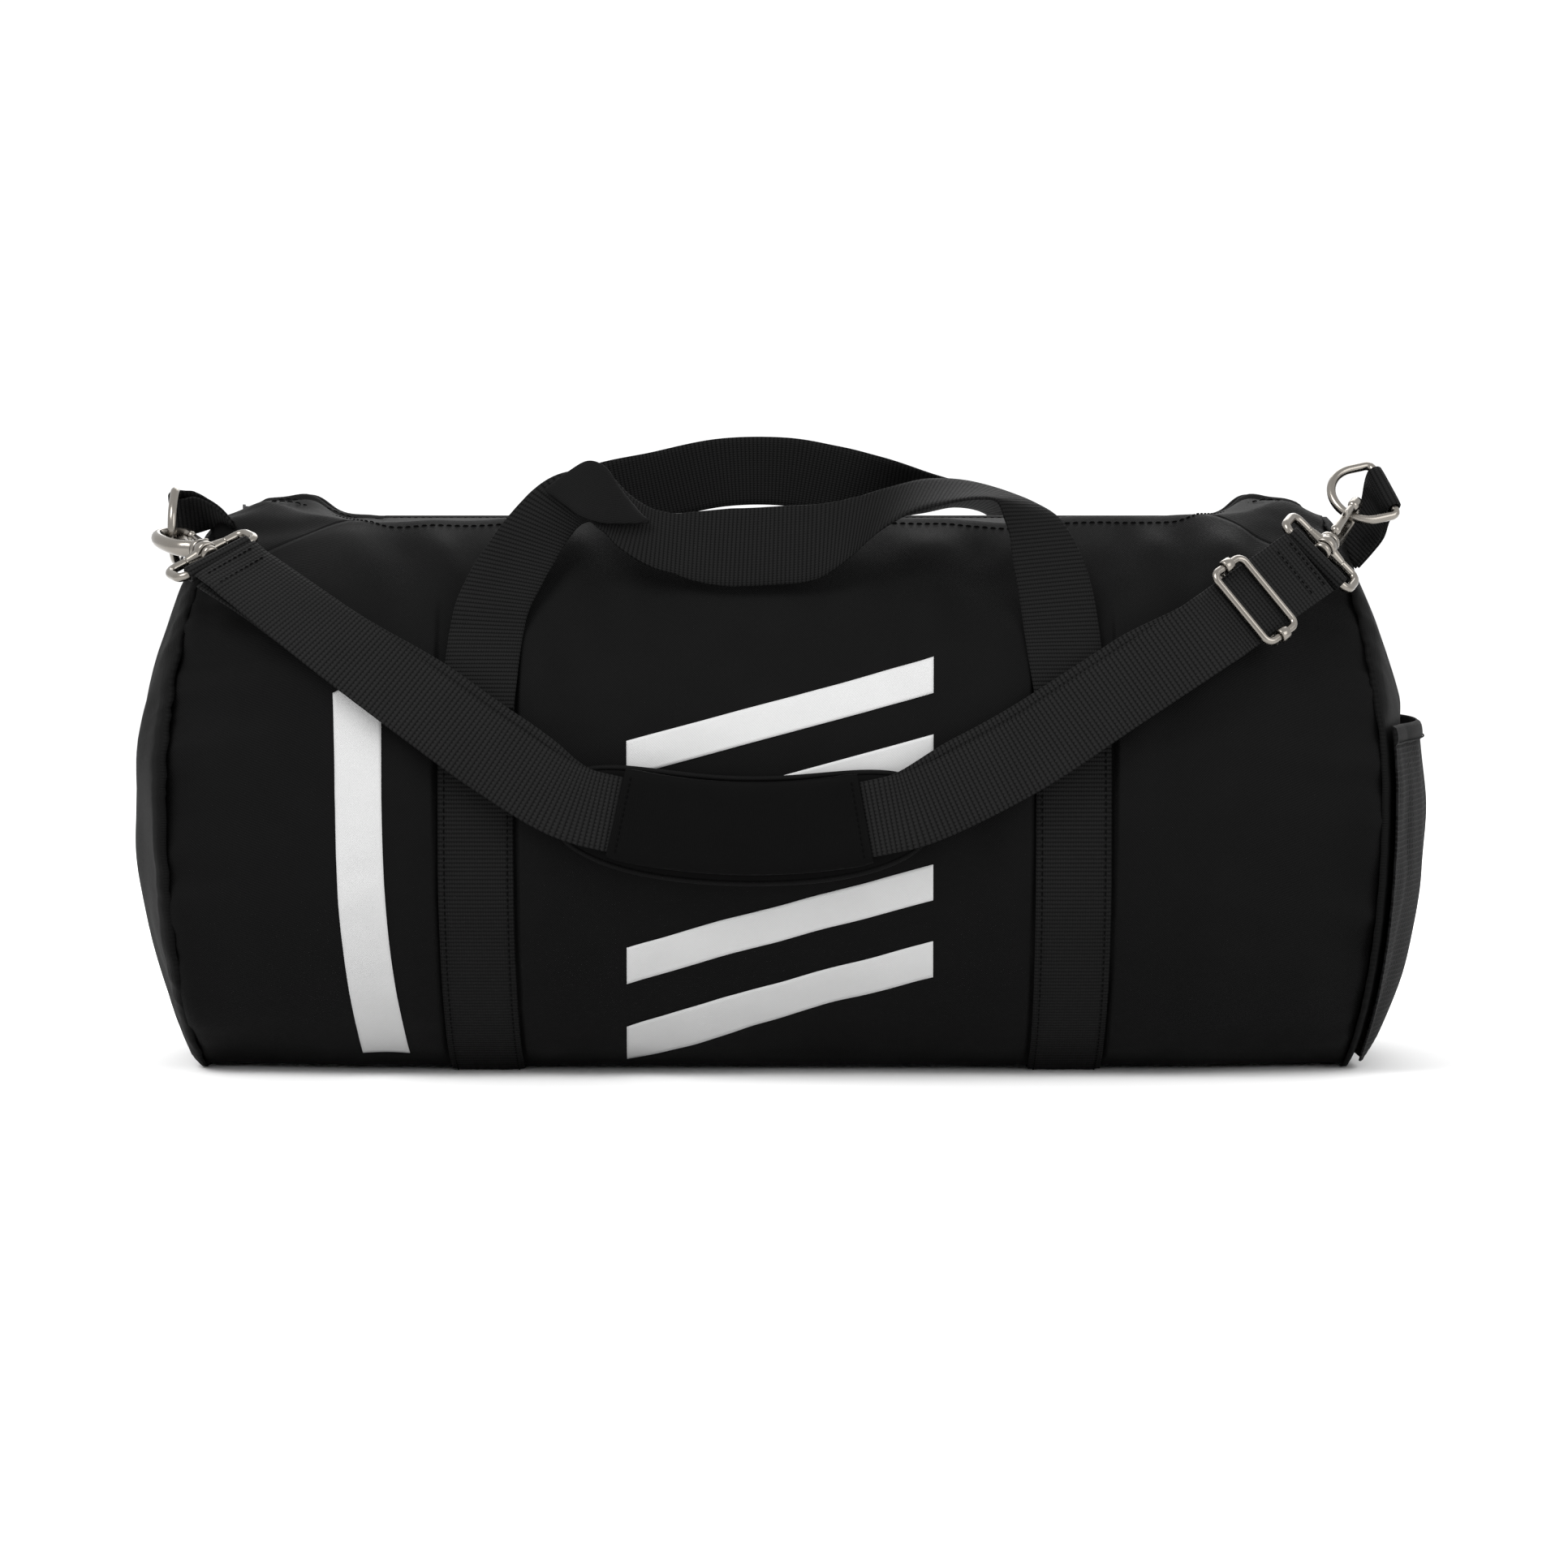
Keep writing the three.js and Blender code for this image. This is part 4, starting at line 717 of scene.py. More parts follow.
for side, dome, name in ((-1, LEFT_DOME, "left"), (1, RIGHT_DOME, "right")):
    NR, NA = 46, 210
    rr = np.linspace(0.0, 1.0, NR) ** 0.9
    rr[0] = 0.004
    aa = np.linspace(0, 2 * np.pi, NA, endpoint=False)
    oy, oz = outline(SEAM_X, aa)
    R, _ = np.meshgrid(rr, aa, indexing="ij")
    X = dome_x(dome, R, oz[None, :], side) + SHELL
    Y = oy[None, :] * R
    Z = DOME_Z + (oz[None, :] - DOME_Z) * R
    arcs = aa * 118
    rim = (1 - R) * 120
    d = 1.5 * broad(Y + 500 * side, Z) + 0.8 * medium(Y * 1.2 + 90 * side, Z * 0.9)
    d = d * smooth(rim / 10) + (0.42 + 0.22 * along(arcs[None, :], 70 * side)) * np.exp(-rim / 13) * np.sin(2 * np.pi * arcs[None, :] / 13.0 + 2 * along(arcs[None, :], 10 * side))
    d = d - 2.4 * np.exp(-((rim / 2.6) ** 2))
    if side > 0:
        d = lerp(d, 0.2 * d - 1.0, 1 - smooth((Z - 150) / 14))
    G = np.stack([side * (X + d), Y, Z], -1)
    inner = G.copy()
    inner[..., 0] -= side * 2.4
    verts = np.vstack([G.reshape(-1, 3), inner.reshape(-1, 3), [G[0].mean(0)], [inner[0].mean(0)]])
    k = NR * NA
    F = grid_faces(NR, NA, close_m=True) + grid_faces(NR, NA, k, close_m=True, flip=True)
    for j in range(NA):
        j2 = (j + 1) % NA
        F.append((2 * k, j, j2))
        F.append((2 * k + 1, k + j2, k + j))
        F.append(((NR - 1) * NA + j, k + (NR - 1) * NA + j, k + (NR - 1) * NA + j2, (NR - 1) * NA + j2))
    F = fix(verts, F)
    U = np.vstack([np.stack([Y, Z], -1).reshape(-1, 2)] * 2 + [[[0, DOME_Z]]] * 2)
    make(name + "_end", verts, F, FABRIC, uv=U, body="bag_body", replaces=(name + "_end_panel",))

_a = np.linspace(0, 2 * np.pi, 1441)
_ry, _rz = outline(SEAM_X, _a)
_rang = np.arctan2(_rz - DOME_Z, _ry)
_rad = np.hypot(_ry, _rz - DOME_Z)
_o = np.argsort(_rang)
_rang, _rad, _rze = _rang[_o], _rad[_o], _rz[_o]


def pocket_x(y, z):
    a = np.arctan2(z - DOME_Z, y)
    r = np.hypot(y, z - DOME_Z) / np.interp(a, _rang, _rad)
    ze = np.interp(a, _rang, _rze)
    return np.maximum(dome_x(RIGHT_DOME, r, ze, 1) + SHELL + 1.6, POCKET_DOME - 1.2 - 32 * r ** 2.6)


def pocket_grid(z0, z1, n, m, share=0.985, wav=0.0):
    zz = np.linspace(z0, z1, n)
    yy = np.sin(np.linspace(-np.pi / 2, np.pi / 2, m))
    Zg, S = np.meshgrid(zz, yy, indexing="ij")
    Yg = depthAt(np.full_like(Zg, SEAM_X), Zg) * share * S
    X = pocket_x(Yg, Zg) + wav * medium(Yg * 1.6, Zg) * smooth((1 - np.abs(S)) / 0.15) * smooth((Zg - z0) / 12)
    return np.stack([X, Yg, Zg], -1)


G = pocket_grid(3.5, 145.5, 60, 90, wav=0.7)
Nn = normals(G)
Nn *= np.sign(Nn[..., 0:1])
uvp = np.stack([G[..., 1], G[..., 2]], -1)
v, f, u = slab(G + Nn * 1.0, Nn, 1.0, uvp)
make("pocket_mesh", v, f, MESH, uv=u, body="bag_body", replaces=("mesh_pocket_panel",))
G = pocket_grid(144.2, 153.2, 8, 110)
Nn = normals(G)
Nn *= np.sign(Nn[..., 0:1])
prof = np.array([0.3, 1.7, 2.1, 2.2, 2.2, 2.1, 1.7, 0.3])[:, None, None]
v, f, u = slab(G + Nn * prof, Nn, np.broadcast_to(prof[..., 0], G.shape[:2]) * 0.95 + 0.1, np.stack([G[..., 1], G[..., 2]], -1))
make("pocket_binding", v, f, SMOOTHWEB, uv=u, body="bag_body", replaces=("mesh_pocket_binding",))
row = pocket_grid(146.2, 146.3, 2, 160)[0]
v, f, u = stitch_row(row[6:-6] + A(2.3, 0, 0), np.tile(A(1, 0, 0), (148, 1)))
make("pocket_stitching", v, f, THREAD, uv=u, body="bag_body")

# ------------------------------------------------------------------ bands
BT = 181.0
for xm, name in zip(BAND_X, ("left", "right")):
    ang = np.linspace(-math.asin(((166 - MID_Z) / SEMI_Z) ** 1.1), math.pi + math.asin(((166 - MID_Z) / SEMI_Z) ** 1.1), 2200)
    y, z = outline(xm, ang, 0.6)
    pts = np.stack([np.full_like(y, xm), y, z], -1)
    s = np.concatenate([[0], np.cumsum(np.linalg.norm(np.diff(pts, axis=0), axis=1))])
    t = np.linspace(0, s[-1], 330)
    c = np.stack([np.interp(t, s, pts[:, i]) for i in range(3)], 1)
    tt = unit(np.gradient(c, axis=0))
    n = unit(np.cross(tt, A(1, 0, 0)))
    n *= np.sign((n * (c - A(xm, 0, MID_Z))).sum(1, keepdims=True))
    w = np.tile(A(1, 0, 0), (len(c), 1))
    c2 = c + w * (0.35 * np.sin(t / 47 + xm))[:, None] + n * (0.25 * medium(t, t * 0 + xm))[:, None] * smooth(c[:, 2:3] / 20)
    v, f, u = ribbon(c2, w, n, WEB_W, BAND_T, across=12, crown=0.1)
    v[:, 2] = np.maximum(v[:, 2], 0.03)
    make(name + "_webbing_band", v, f, WEBBING, uv=u, body="bag_body", replaces=(name + "_band",))
    parts = []
    keep = (c[:, 2] < 163)
    for sx in (-1, 1):
        parts.append(stitch_row((c2 + w * sx * 13.4 + n * 0.72)[keep], n[keep], pitch=3.0, length=2.2, r=0.33))
    for sy in (-1, 1):  # bar tacks where the sewing ends
        i = np.argmin(np.abs(c[:, 2] - 162) + 1000 * (c[:, 1] * sy < 0))
        for k in (0, 1.6, 3.2):
            q = c2[i] + tt[i] * k * -sy * 1.0 + n[i] * 0.72
            parts.append(stitch_row(q + np.linspace(-13.4, 13.4, 20)[:, None] * A(1, 0, 0), np.tile(n[i], (20, 1)), pitch=2.2, length=1.9, r=0.33))
    v, f, u = merge(parts)
    make(name + "_band_stitching", v, f, THREAD, uv=u, body="bag_body")


# ------------------------------------------------------------------ carry handles
SIN3 = math.sin(math.radians(3))


def seen(px, py, y):
    """a point at depth y on a line of sight of the camera below"""
    s = 0.3678 * (2000 + y) / 2000
    return A((px - 964) * s, y, 122.5 + (966 - py) * s - y * SIN3)


def edge_ribbon(E1, E2, n, thick, across=10):
    """webbing between two edge curves"""
    u = np.linspace(0, 1, n)
    a, b = catmull(E1, u), catmull(E2, u)
    c, w = (a + b) / 2, unit(a - b)
    t = unit(np.gradient(c, axis=0))
    nn = unit(np.cross(w, t))
    width = np.linalg.norm(a - b, axis=1)
    return c, w, nn, width, t


yb = float(depthAt(0.0, BT)) + 0.3
# (outer edge px, py, y) and (inner edge px, py, y)
def leg(px, py, off=1.3):
    y = -125.0
    for _ in range(20):
        q = seen(px, py, y)
        y = -(float(depthAt(0.0, q[2])) + off)
    return (px, py, y)


HK = [
    (leg(541, 874), leg(633, 874)),
    (leg(545, 842), leg(637, 842)),
    (leg(550, 808), leg(641, 808)),
    (leg(555, 775, 1.6), leg(646, 778, 1.6)),
    ((563, 742, -120.0), (653, 751, -120.0)),
    ((580, 706, -116.5), (668, 722, -116.5)),
    ((602, 671, -113.5), (684, 693, -113.5)),
    ((630, 634, -111.0), (702, 664, -111.0)),
    ((658, 606, -108.5), (717, 646, -112.0)),
    ((700, 583, -107.0), (727, 643, -118.0)),
    ((748, 583, -106.0), (738, 651, -120.0)),
    ((778, 618, -107.0), (762, 668, -119.0)),
    ((806, 636, -109.0), (800, 690, -117.0)),
    ((850, 632, -110.0), (845, 713, -115.0)),
    ((905, 627, -111.0), (899, 723, -114.5)),
    ((960, 624, -111.0), (957, 721, -114.5)),
    ((1010, 622, -111.0), (1006, 714, -115.0)),
    ((1056, 613, -108.0), (1044, 690, -116.0)),
    ((1098, 601, -103.0), (1080, 657, -121.0)),
    ((1140, 592, -98.0), (1120, 633, -123.5)),
    ((1184, 593, -96.0), (1164, 621, -124.5)),
    ((1230, 604, -98.0), (1204, 615, -124.0)),
    ((1272, 621, -103.0), (1230, 619, -121.0)),
    ((1306, 643, -107.5), (1241, 648, -117.0)),
    ((1330, 682, -112.0), (1247, 690, -116.0)),
    ((1345, 727, -117.0), (1255, 735, -117.5)),
    (leg(1353, 772, 1.6), leg(1261, 776, 1.6)),
    (leg(1358, 808), leg(1266, 808)),
    (leg(1364, 842), leg(1272, 842)),
    (leg(1369, 874), leg(1277, 874)),
]
E1 = [seen(*k[0]) for k in HK]
E2 = [seen(*k[1]) for k in HK]
c, w, nn, width, t = edge_ribbon(E1, E2, 230, HANDLE_T)
if nn[5][1] > 0:
    nn = -nn
width = np.clip(width, 26, 33.5)
v, f, u = ribbon(c, w, nn, width, HANDLE_T * 0.85, across=12, crown=0.15)
# the turned-over part at the left bend, its reverse side to the front
F1 = [seen(*k) for k in ((672, 604, -111.5), (700, 583, -110.5), (726, 569, -110), (745, 575, -111), (768, 606, -113), (797, 642, -114.0))]
F2 = [seen(*k) for k in ((680, 612, -112.5), (697, 624, -117), (716, 637, -121.5), (742, 645, -122.5), (768, 646, -120), (800, 645, -115.5))]
c2, w2, n2, wd2, _ = edge_ribbon(F1, F2, 60, 1.6)
if n2[30][1] > 0:
    n2 = -n2
fold = ribbon(c2, w2, n2, wd2, 1.5, across=10, crown=0.5)
o = make("front_carry_handle", v, f, WEBBING, uv=u, replaces=("front_handle",))
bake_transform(o)
make("front_handle_fold", fold[0], fold[1], SMOOTHWEB, uv=fold[2], body="front_handle_body")

yTop = float(depthAt(0.0, BAND_TOP_Z)) + 0.4
low_keys = [[float(depthAt(0.0, q)) + 1.3, q] for q in (160.0, 169.0, 178.0, 188.0)]
BK = [
    *[[BAND_X[0], yk, zk, 0, 0.9, 0.4] for yk, zk in low_keys],
    [BAND_X[0], yTop + 0.5, BAND_TOP_Z + 1.7, 0, 0.88, 0.46],
    [BAND_X[0] + 0.8, yTop - 3.6, 204, 0, 0.9, 0.42],
    [BAND_X[0] + 6, 113.5, 218, 0, 0.95, 0.3],
    [BAND_X[0] + 16, 106, 234, 0, 0.97, 0.22],
    [BAND_X[0] + 38, 98, 251, 0, 0.99, 0.12],
    [-58, 94, 259, 0, 1, 0.05],
    [-28, 92, 265, 0, 1, 0],
    [2, 92, 265.3, 0, 1, 0],
    [24, 92, 261.5, 0, 1, 0.05],
    [44, 93, 257.5, 0, 0.93, 0.37],
    [66, 95, 255.2, 0, 0.6, 0.8],
    [86, 98, 253.6, 0.05, 0.3, 0.95],
    [102, 102, 248.5, 0.45, 0.3, 0.84],
    [112, 107, 238.5, 0.75, 0.45, 0.48],
    [BAND_X[1] - 3.0, 112, 226, 0.55, 0.75, 0.36],
    [BAND_X[1] - 1.0, 115.0, 214, 0.15, 0.93, 0.33],
    [BAND_X[1] - 0.5, yTop - 3.6, 204, 0, 0.9, 0.42],
    [BAND_X[1], yTop + 0.5, BAND_TOP_Z + 1.7, 0, 0.88, 0.46],
    *[[BAND_X[1], yk, zk, 0, 0.9, 0.4] for yk, zk in low_keys[::-1]],
]
bh = Strip(BK)
c, t, w, n = bh.frames(np.linspace(0, 1, 220))
v, f, u = ribbon(c, w, n, WEB_W, HANDLE_T * 0.85, across=12, crown=0.15)
o = make("back_carry_handle", v, f, WEBBING, uv=u, replaces=("back_handle",))
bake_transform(o)


# ------------------------------------------------------------------ shoulder strap
def out_n(x, z):
    e = 2
    d = float(depthAt(x, z + e) - depthAt(x, z - e)) / (2 * e)
    return unit(A(0, -1, -d))


L_EYE, R_EYE = A(-243, -91.5, 224.5), A(231, -95, 226)
lN, lT = unit(A(-0.07, -0.62, 0.78)), unit(A(0.676, -0.604, -0.423))
lW = unit(np.cross(lN, lT))
keys = [[*(L_EYE + lT * (EYE_R + 3.0) + lN * (EYE_R + 0.3 + STRAP_T / 2)), *lN], [*(L_EYE + lT * 20 + lN * 2.2), *lN]]


def put(x, z, off, tilt=1.0):
    n = out_n(x, z)
    n[2] *= tilt
    keys.append([x, -(float(depthAt(x, z)) + off), z, *unit(n)])


put(-188, 189, 12)
put(-150, 162, 11)
put(-122, 142, 11, 0.8)
for deg in (-17.5, -12, -6, 0, 6, 12, 15.5):
    a = math.radians(deg)
    keys.append([PAD_CX + PAD_R * math.sin(a), PAD_Y, PAD_CZ - PAD_R * math.cos(a), 0, -1, 0.02])
put(98, 140, 11, 0.8)
put(140, 167, 11)
rN = unit(A(0.38, -0.80, 0.47))
R_FROM = A(180, -138, 193.5)
rT = unit(R_EYE - R_FROM)
rW = unit(np.cross(rN, rT))
rNn = unit(np.cross(rT, rW))
keys.append([*R_FROM, *rNn])
for d in (12, 24, 36, 48, 60):
    keys.append([*(R_FROM + rT * d), *rNn])
R_STOP = float(np.linalg.norm(R_FROM - R_EYE)) - (EYE_R + 4.8)
keys.append([*(R_FROM + rT * R_STOP), *rNn])
strap = Strip(keys)
NK = len(keys) - 1
rEye = R_EYE - rNn * (EYE_R + 0.3 + STRAP_T / 2)
us = np.linspace(0, 1, 420)
c, t, w, n = strap.frames(us)
v, f, u = ribbon(c, w, n, WEB_W, STRAP_T * 0.9, across=12, crown=0.12)
make("shoulder_strap", v, f, STRAPWEB, uv=u, body="strap", replaces=("strap_webbing",))
# return layer
ADJ_D = 28
adjO = R_FROM + rT * ADJ_D
i0 = NK - 6
uStop = (i0 + (ADJ_D - 3.9) / 12) / NK
far = 2 * (EYE_R + 0.3 + STRAP_T / 2)
us = np.linspace(0, uStop, 380)
c, t, w, n = strap.frames(us)
offN = -lerp(far, STRAP_T + 0.75, smooth(us * NK / 3.2))
xk = c[:, 0]
offW = 1.6 * smooth((xk + 240) / 25) * (1 - smooth((xk + 120) / 30)) + 3.0 * smooth((xk + 190) / 40) * (1 - smooth((xk + 108) / 26)) + 4.6 * smooth((xk - 42) / 40) * (1 - smooth((xk - 150) / 34))
v, f, u = ribbon(c + n * offN[:, None] + w * offW[:, None], w, n, WEB_W, STRAP_T * 0.9, across=12, crown=0.1)
make("shoulder_strap_return", v, f, STRAPWEB, uv=u, body="strap", replaces=("strap_return_layer",))


def turn(name, o, axis, rin, rout, body, node_name):
    e = 0.45
    h = WEB_W / 2 - 0.3
    prof = [(-h, rin), (-h, rout - e), (-h + e, rout)] + [(q, rout) for q in np.linspace(-h + 2, h - 2, 9)] + [(h - e, rout), (h, rout - e), (h, rin)]
    v, f, u = lathe(prof, o, axis, 36, close=True)
    u = u[:, ::-1]
    make(name, v, f, STRAPWEB, uv=u, body=body, replaces=(node_name,))


adjBar = adjO - rNn * (STRAP_T / 2 + 0.3 + 1.2 + 0.3 + 1.5)
turn("webbing_turn_adjuster", adjBar, rW, 1.8, 3.0, "adjuster", "strap_end_turn")
# sewn tail behind the right loop
d = np.linspace(EYE_R + 4.8 - 6 + 0.0, EYE_R + 4.8 + 6, 14) + 6
d = np.linspace(EYE_R + 4.8, EYE_R + 4.8 + 12, 14)
sink = lerp(2 * (EYE_R + 0.3 + STRAP_T / 2), STRAP_T + 0.5, smooth((d - 4) / 12))
c = R_EYE - rT * d[:, None] - rNn * sink[:, None]
v, f, u = ribbon(c, np.tile(rW, (14, 1)), np.tile(rNn, (14, 1)), WEB_W - 1, STRAP_T * 0.9, across=10)
make("strap_tail", v, f, STRAPWEB, uv=u, body="strap", replaces=("strap_right_tail",))
# sewing across both strap ends
parts = []
for o, tt, ww, nn_ in ((L_EYE + lN * (EYE_R + 0.3 + STRAP_T), lT, lW, lN), (R_EYE + rNn * STRAP_T / 2, -rT, rW, rNn)):
    for q in (9.0, 17.5):
        cc = o + tt * q + nn_ * (0.1 if q < 10 else 0.0)
        if tt is lT:
            k = strap.frames([((q - 5) / 15) / NK])
            cc = k[0][0] + k[3][0] * STRAP_T * 0.52
        parts.append(stitch_row(cc + np.linspace(-13.5, 13.5, 24)[:, None] * ww, np.tile(nn_, (24, 1)), pitch=2.6, length=2.0, r=0.34))
v, f, u = merge(parts)
make("strap_end_stitching", v, f, THREAD, uv=u, body="strap")


# ------------------------------------------------------------------ adjuster
def rect_loop(hu, hw, corner, n):
    pts = []
    for cx, cy, a0 in ((hu - corner, -hw + corner, -90), (hu - corner, hw - corner, 0), (-hu + corner, hw - corner, 90), (-hu + corner, -hw + corner, 180)):
        for a in np.linspace(a0, a0 + 90, 12):
            pts.append((cx + corner * math.cos(math.radians(a)), cy + corner * math.sin(math.radians(a)), 0))
    pts.append(pts[0])
    q = resample(pts, 0.9)[:-1]
    return q[:, :2]


nBar, nFrame = -(STRAP_T / 2 + 0.3 + 1.2 + 0.3 + 1.5), STRAP_T / 2 + 0.3 + ADJ_R
o = adjO + rNn * nFrame
q = rect_loop(ADJ_HALF_L, ADJ_HALF_W, 3.6, 90)
v, f, u = tube(o + rT * q[:, :1] + rW * q[:, 1:], ADJ_R, 16, closed=True)
make("adjuster_ring", v, f, NICKEL, uv=u, body="adjuster", replaces=("adjuster_frame",))
at = lambda ww, nn_: adjO + rW * ww + rNn * nn_
parts = []
bar = np.array([at(x, nBar) for x in np.linspace(-ADJ_HALF_W, ADJ_HALF_W, 12)])
parts.append(tube(*ball_ends(bar, 1.5), nrad=14))
for sg in (-1, 1):
    leg = np.array([at(sg * ADJ_HALF_W, x) for x in np.linspace(nBar - 0.5, nFrame - ADJ_R - 0.6, 8)])
    parts.append(tube(*ball_ends(leg, 1.45), nrad=14))
    prof = [(-2.4, ADJ_R + 0.25), (-2.4, ADJ_R + 0.95), (-1.9, ADJ_R + 1.35), (1.9, ADJ_R + 1.35), (2.4, ADJ_R + 0.95), (2.4, ADJ_R + 0.25)]
    parts.append(lathe(prof, at(sg * ADJ_HALF_W, nFrame), rT, 26, close=True))
v, f, u = merge(parts)
make("adjuster_slide_bar", v, f, NICKEL, uv=u, body="adjuster", replaces=("adjuster_bar",))

# ------------------------------------------------------------------ shoulder pad
arc_keys = []
for dg in range(-20, 19, 2):
    a = math.radians(dg)
    arc_keys.append([PAD_CX + PAD_R * math.sin(a), PAD_Y, PAD_CZ - PAD_R * math.cos(a), 0, -1, 0])
line = Strip(arc_keys)
at_deg = lambda dg: (dg + 20) / 38
n_ = 120
ff = np.linspace(0, 1, n_)
us = lerp(at_deg(-18.3), at_deg(16.2), ff)
c, t, w, n = line.frames(us)
half_w = (44 - 20 * np.abs(2 * ff - 1) ** 5) / 2
end = np.clip(np.minimum(ff, 1 - ff) * 165 / 9, 0, 1)
half_w = half_w * (1 - (1 - end) ** 2 * 0.32)
M = 36
th = np.linspace(0, 2 * np.pi, M, endpoint=False)
cx = spow(np.cos(th), 0.75)
cz = spow(np.sin(th), 0.55)
puff = 2.7 * (0.72 + 0.28 * smooth(end)) * (1 + 0.07 * medium(ff * 160, 0 * ff))
C = c - n * 7.95 - w * 1.0
G = C[:, None] + w[:, None] * (half_w[:, None, None] * 0.975 * cx[None, :, None]) + n[:, None] * (puff[:, None, None] * cz[None, :, None] * (1 - 0.35 * np.abs(cx[None, :, None]) ** 3))
s = ff * 165
U = np.stack(np.broadcast_arrays(half_w.mean() * cx[None, :], s[:, None]), -1)
v = G.reshape(-1, 3)
F = fix(v, grid_faces(n_, M, close_m=True) + [tuple(range(M)), tuple(reversed(range((n_ - 1) * M, n_ * M)))])
o = make("pad_cushion", v, F, PADMAT, uv=U.reshape(-1, 2), body="pad", replaces=("pad_base",))
# bound edge of the pad
loop = np.vstack([C + w * half_w[:, None], (C - w * half_w[:, None])[::-1]])
loop = resample(np.vstack([loop, loop[:1]]), 1.6)[:-1]
for _ in range(5):
    loop = (np.roll(loop, 1, 0) + loop * 2 + np.roll(loop, -1, 0)) / 4
v, f, u = tube(loop, 1.25, 12, closed=True)
make("pad_piping", v, f, SMOOTHWEB, uv=u, body="pad")
# sleeve
n_ = 100
ff = np.linspace(0, 1, n_)
us = lerp(at_deg(-12.9), at_deg(10.4), ff)
c, t, w, n = line.frames(us)
C = c + n * -1.15 + w * 0.6
M = 56
th = np.linspace(0, 2 * np.pi, M, endpoint=False)
ex, ez = spow(np.cos(th), 0.30), spow(np.sin(th), 0.42)
endf = np.clip(np.minimum(ff, 1 - ff) * 106 / 5, 0, 1)
grow = 1 + 0.03 * smooth(endf)
wv = 0.25 * medium(ff[:, None] * 106 * 1.3 + 0 * th[None], (th * 12)[None] + 0 * ff[:, None])
bulge = (3.7 + 0.35 * smooth(endf))[:, None] + wv * smooth(endf)[:, None]
outer = C[:, None] + w[:, None] * (19.0 * grow[:, None, None] * ex[None, :, None]) + n[:, None] * (bulge[..., None] * ez[None, :, None] * (1 - 0.10 * np.abs(ex[None, :, None]) ** 4))
inner = C[:, None] + w[:, None] * (17.7 * ex[None, :, None]) + n[:, None] * (2.75 * ez[None, :, None])
G = np.concatenate([outer, inner[::-1]], 0)
lift = np.linspace(0, 1, n_)
U = np.stack(np.broadcast_arrays((th * 9)[None, :], (np.concatenate([ff, ff[::-1]]) * 106)[:, None]), -1)
v = G.reshape(-1, 3)
F = fix(v, grid_faces(2 * n_, M, close_n=True, close_m=True))
o = make("pad_cover", v, F, PADMAT, uv=U.reshape(-1, 2), body="pad", replaces=("pad_sleeve",))
parts = []
for f0 in (0.035, 0.965):
    i = int(f0 * n_)
    sel = [k for k in range(M) if ez[k] > 0.55 and abs(ex[k]) < 0.93]
    P_ = outer[i][sel]
    P_ = P_[np.argsort((P_ @ w[i]))]
    parts.append(stitch_row(P_, np.tile(n[i], (len(P_), 1)), pitch=2.6, length=2.0, r=0.3))
v, f, u = merge(parts)
make("pad_cover_stitching", v, f, THREAD, uv=u, body="pad")

# ------------------------------------------------------------------ D-rings and their tabs
L_BAR, L_A, L_B = A(-268, -34, 245), A(0, -0.7071, -0.7071), A(0, 0.7071, -0.7071)
R_BAR, R_A = A(266, -40, 255), unit(A(-0.93, -0.3, -0.2))
R_B = A(0.35, -0.55, -0.76)
R_B = unit(R_B - R_A * np.dot(R_B, R_A))
R_D = A(0, 0.3, -1)
R_D = unit(R_D - R_B * np.dot(R_D, R_B))


def d_ring(name, bar, a, b, node_name):
    cc = 3.0
    pts = [(0, x) for x in np.linspace(-RING_HALF + cc, RING_HALF - cc, 30)]
    for q in np.linspace(0, 1, 8)[1:]:
        pts.append(((1 - q) ** 2 * 0 + 2 * q * (1 - q) * 0 + q * q * cc, (1 - q) ** 2 * (RING_HALF - cc) + 2 * q * (1 - q) * RING_HALF + q * q * RING_HALF))
    pts.append((RING_ARC_A, RING_HALF))
    for q in np.linspace(90, -90, 60)[1:]:
        pts.append((RING_ARC_A + RING_HALF * math.cos(math.radians(q)), RING_HALF * math.sin(math.radians(q))))
    pts.append((cc, -RING_HALF))
    for q in np.linspace(0, 1, 8)[1:]:
        pts.append(((1 - q) ** 2 * cc + 2 * q * (1 - q) * 0 + 0, -((1 - q) ** 2 * RING_HALF + 2 * q * (1 - q) * RING_HALF + q * q * (RING_HALF - cc))))
    P3 = resample([(p[0], p[1], 0) for p in pts], 1.0)[:-1]
    v, f, u = tube(bar + a * P3[:, :1] + b * P3[:, 1:2], RING_R, 16, closed=True)
    make(name, v, f, NICKEL, uv=u, body="strap", replaces=(node_name,))


d_ring("left_ring", L_BAR, L_A, L_B, "left_d_ring")
d_ring("right_ring", R_BAR, R_A, R_B, "right_d_ring")


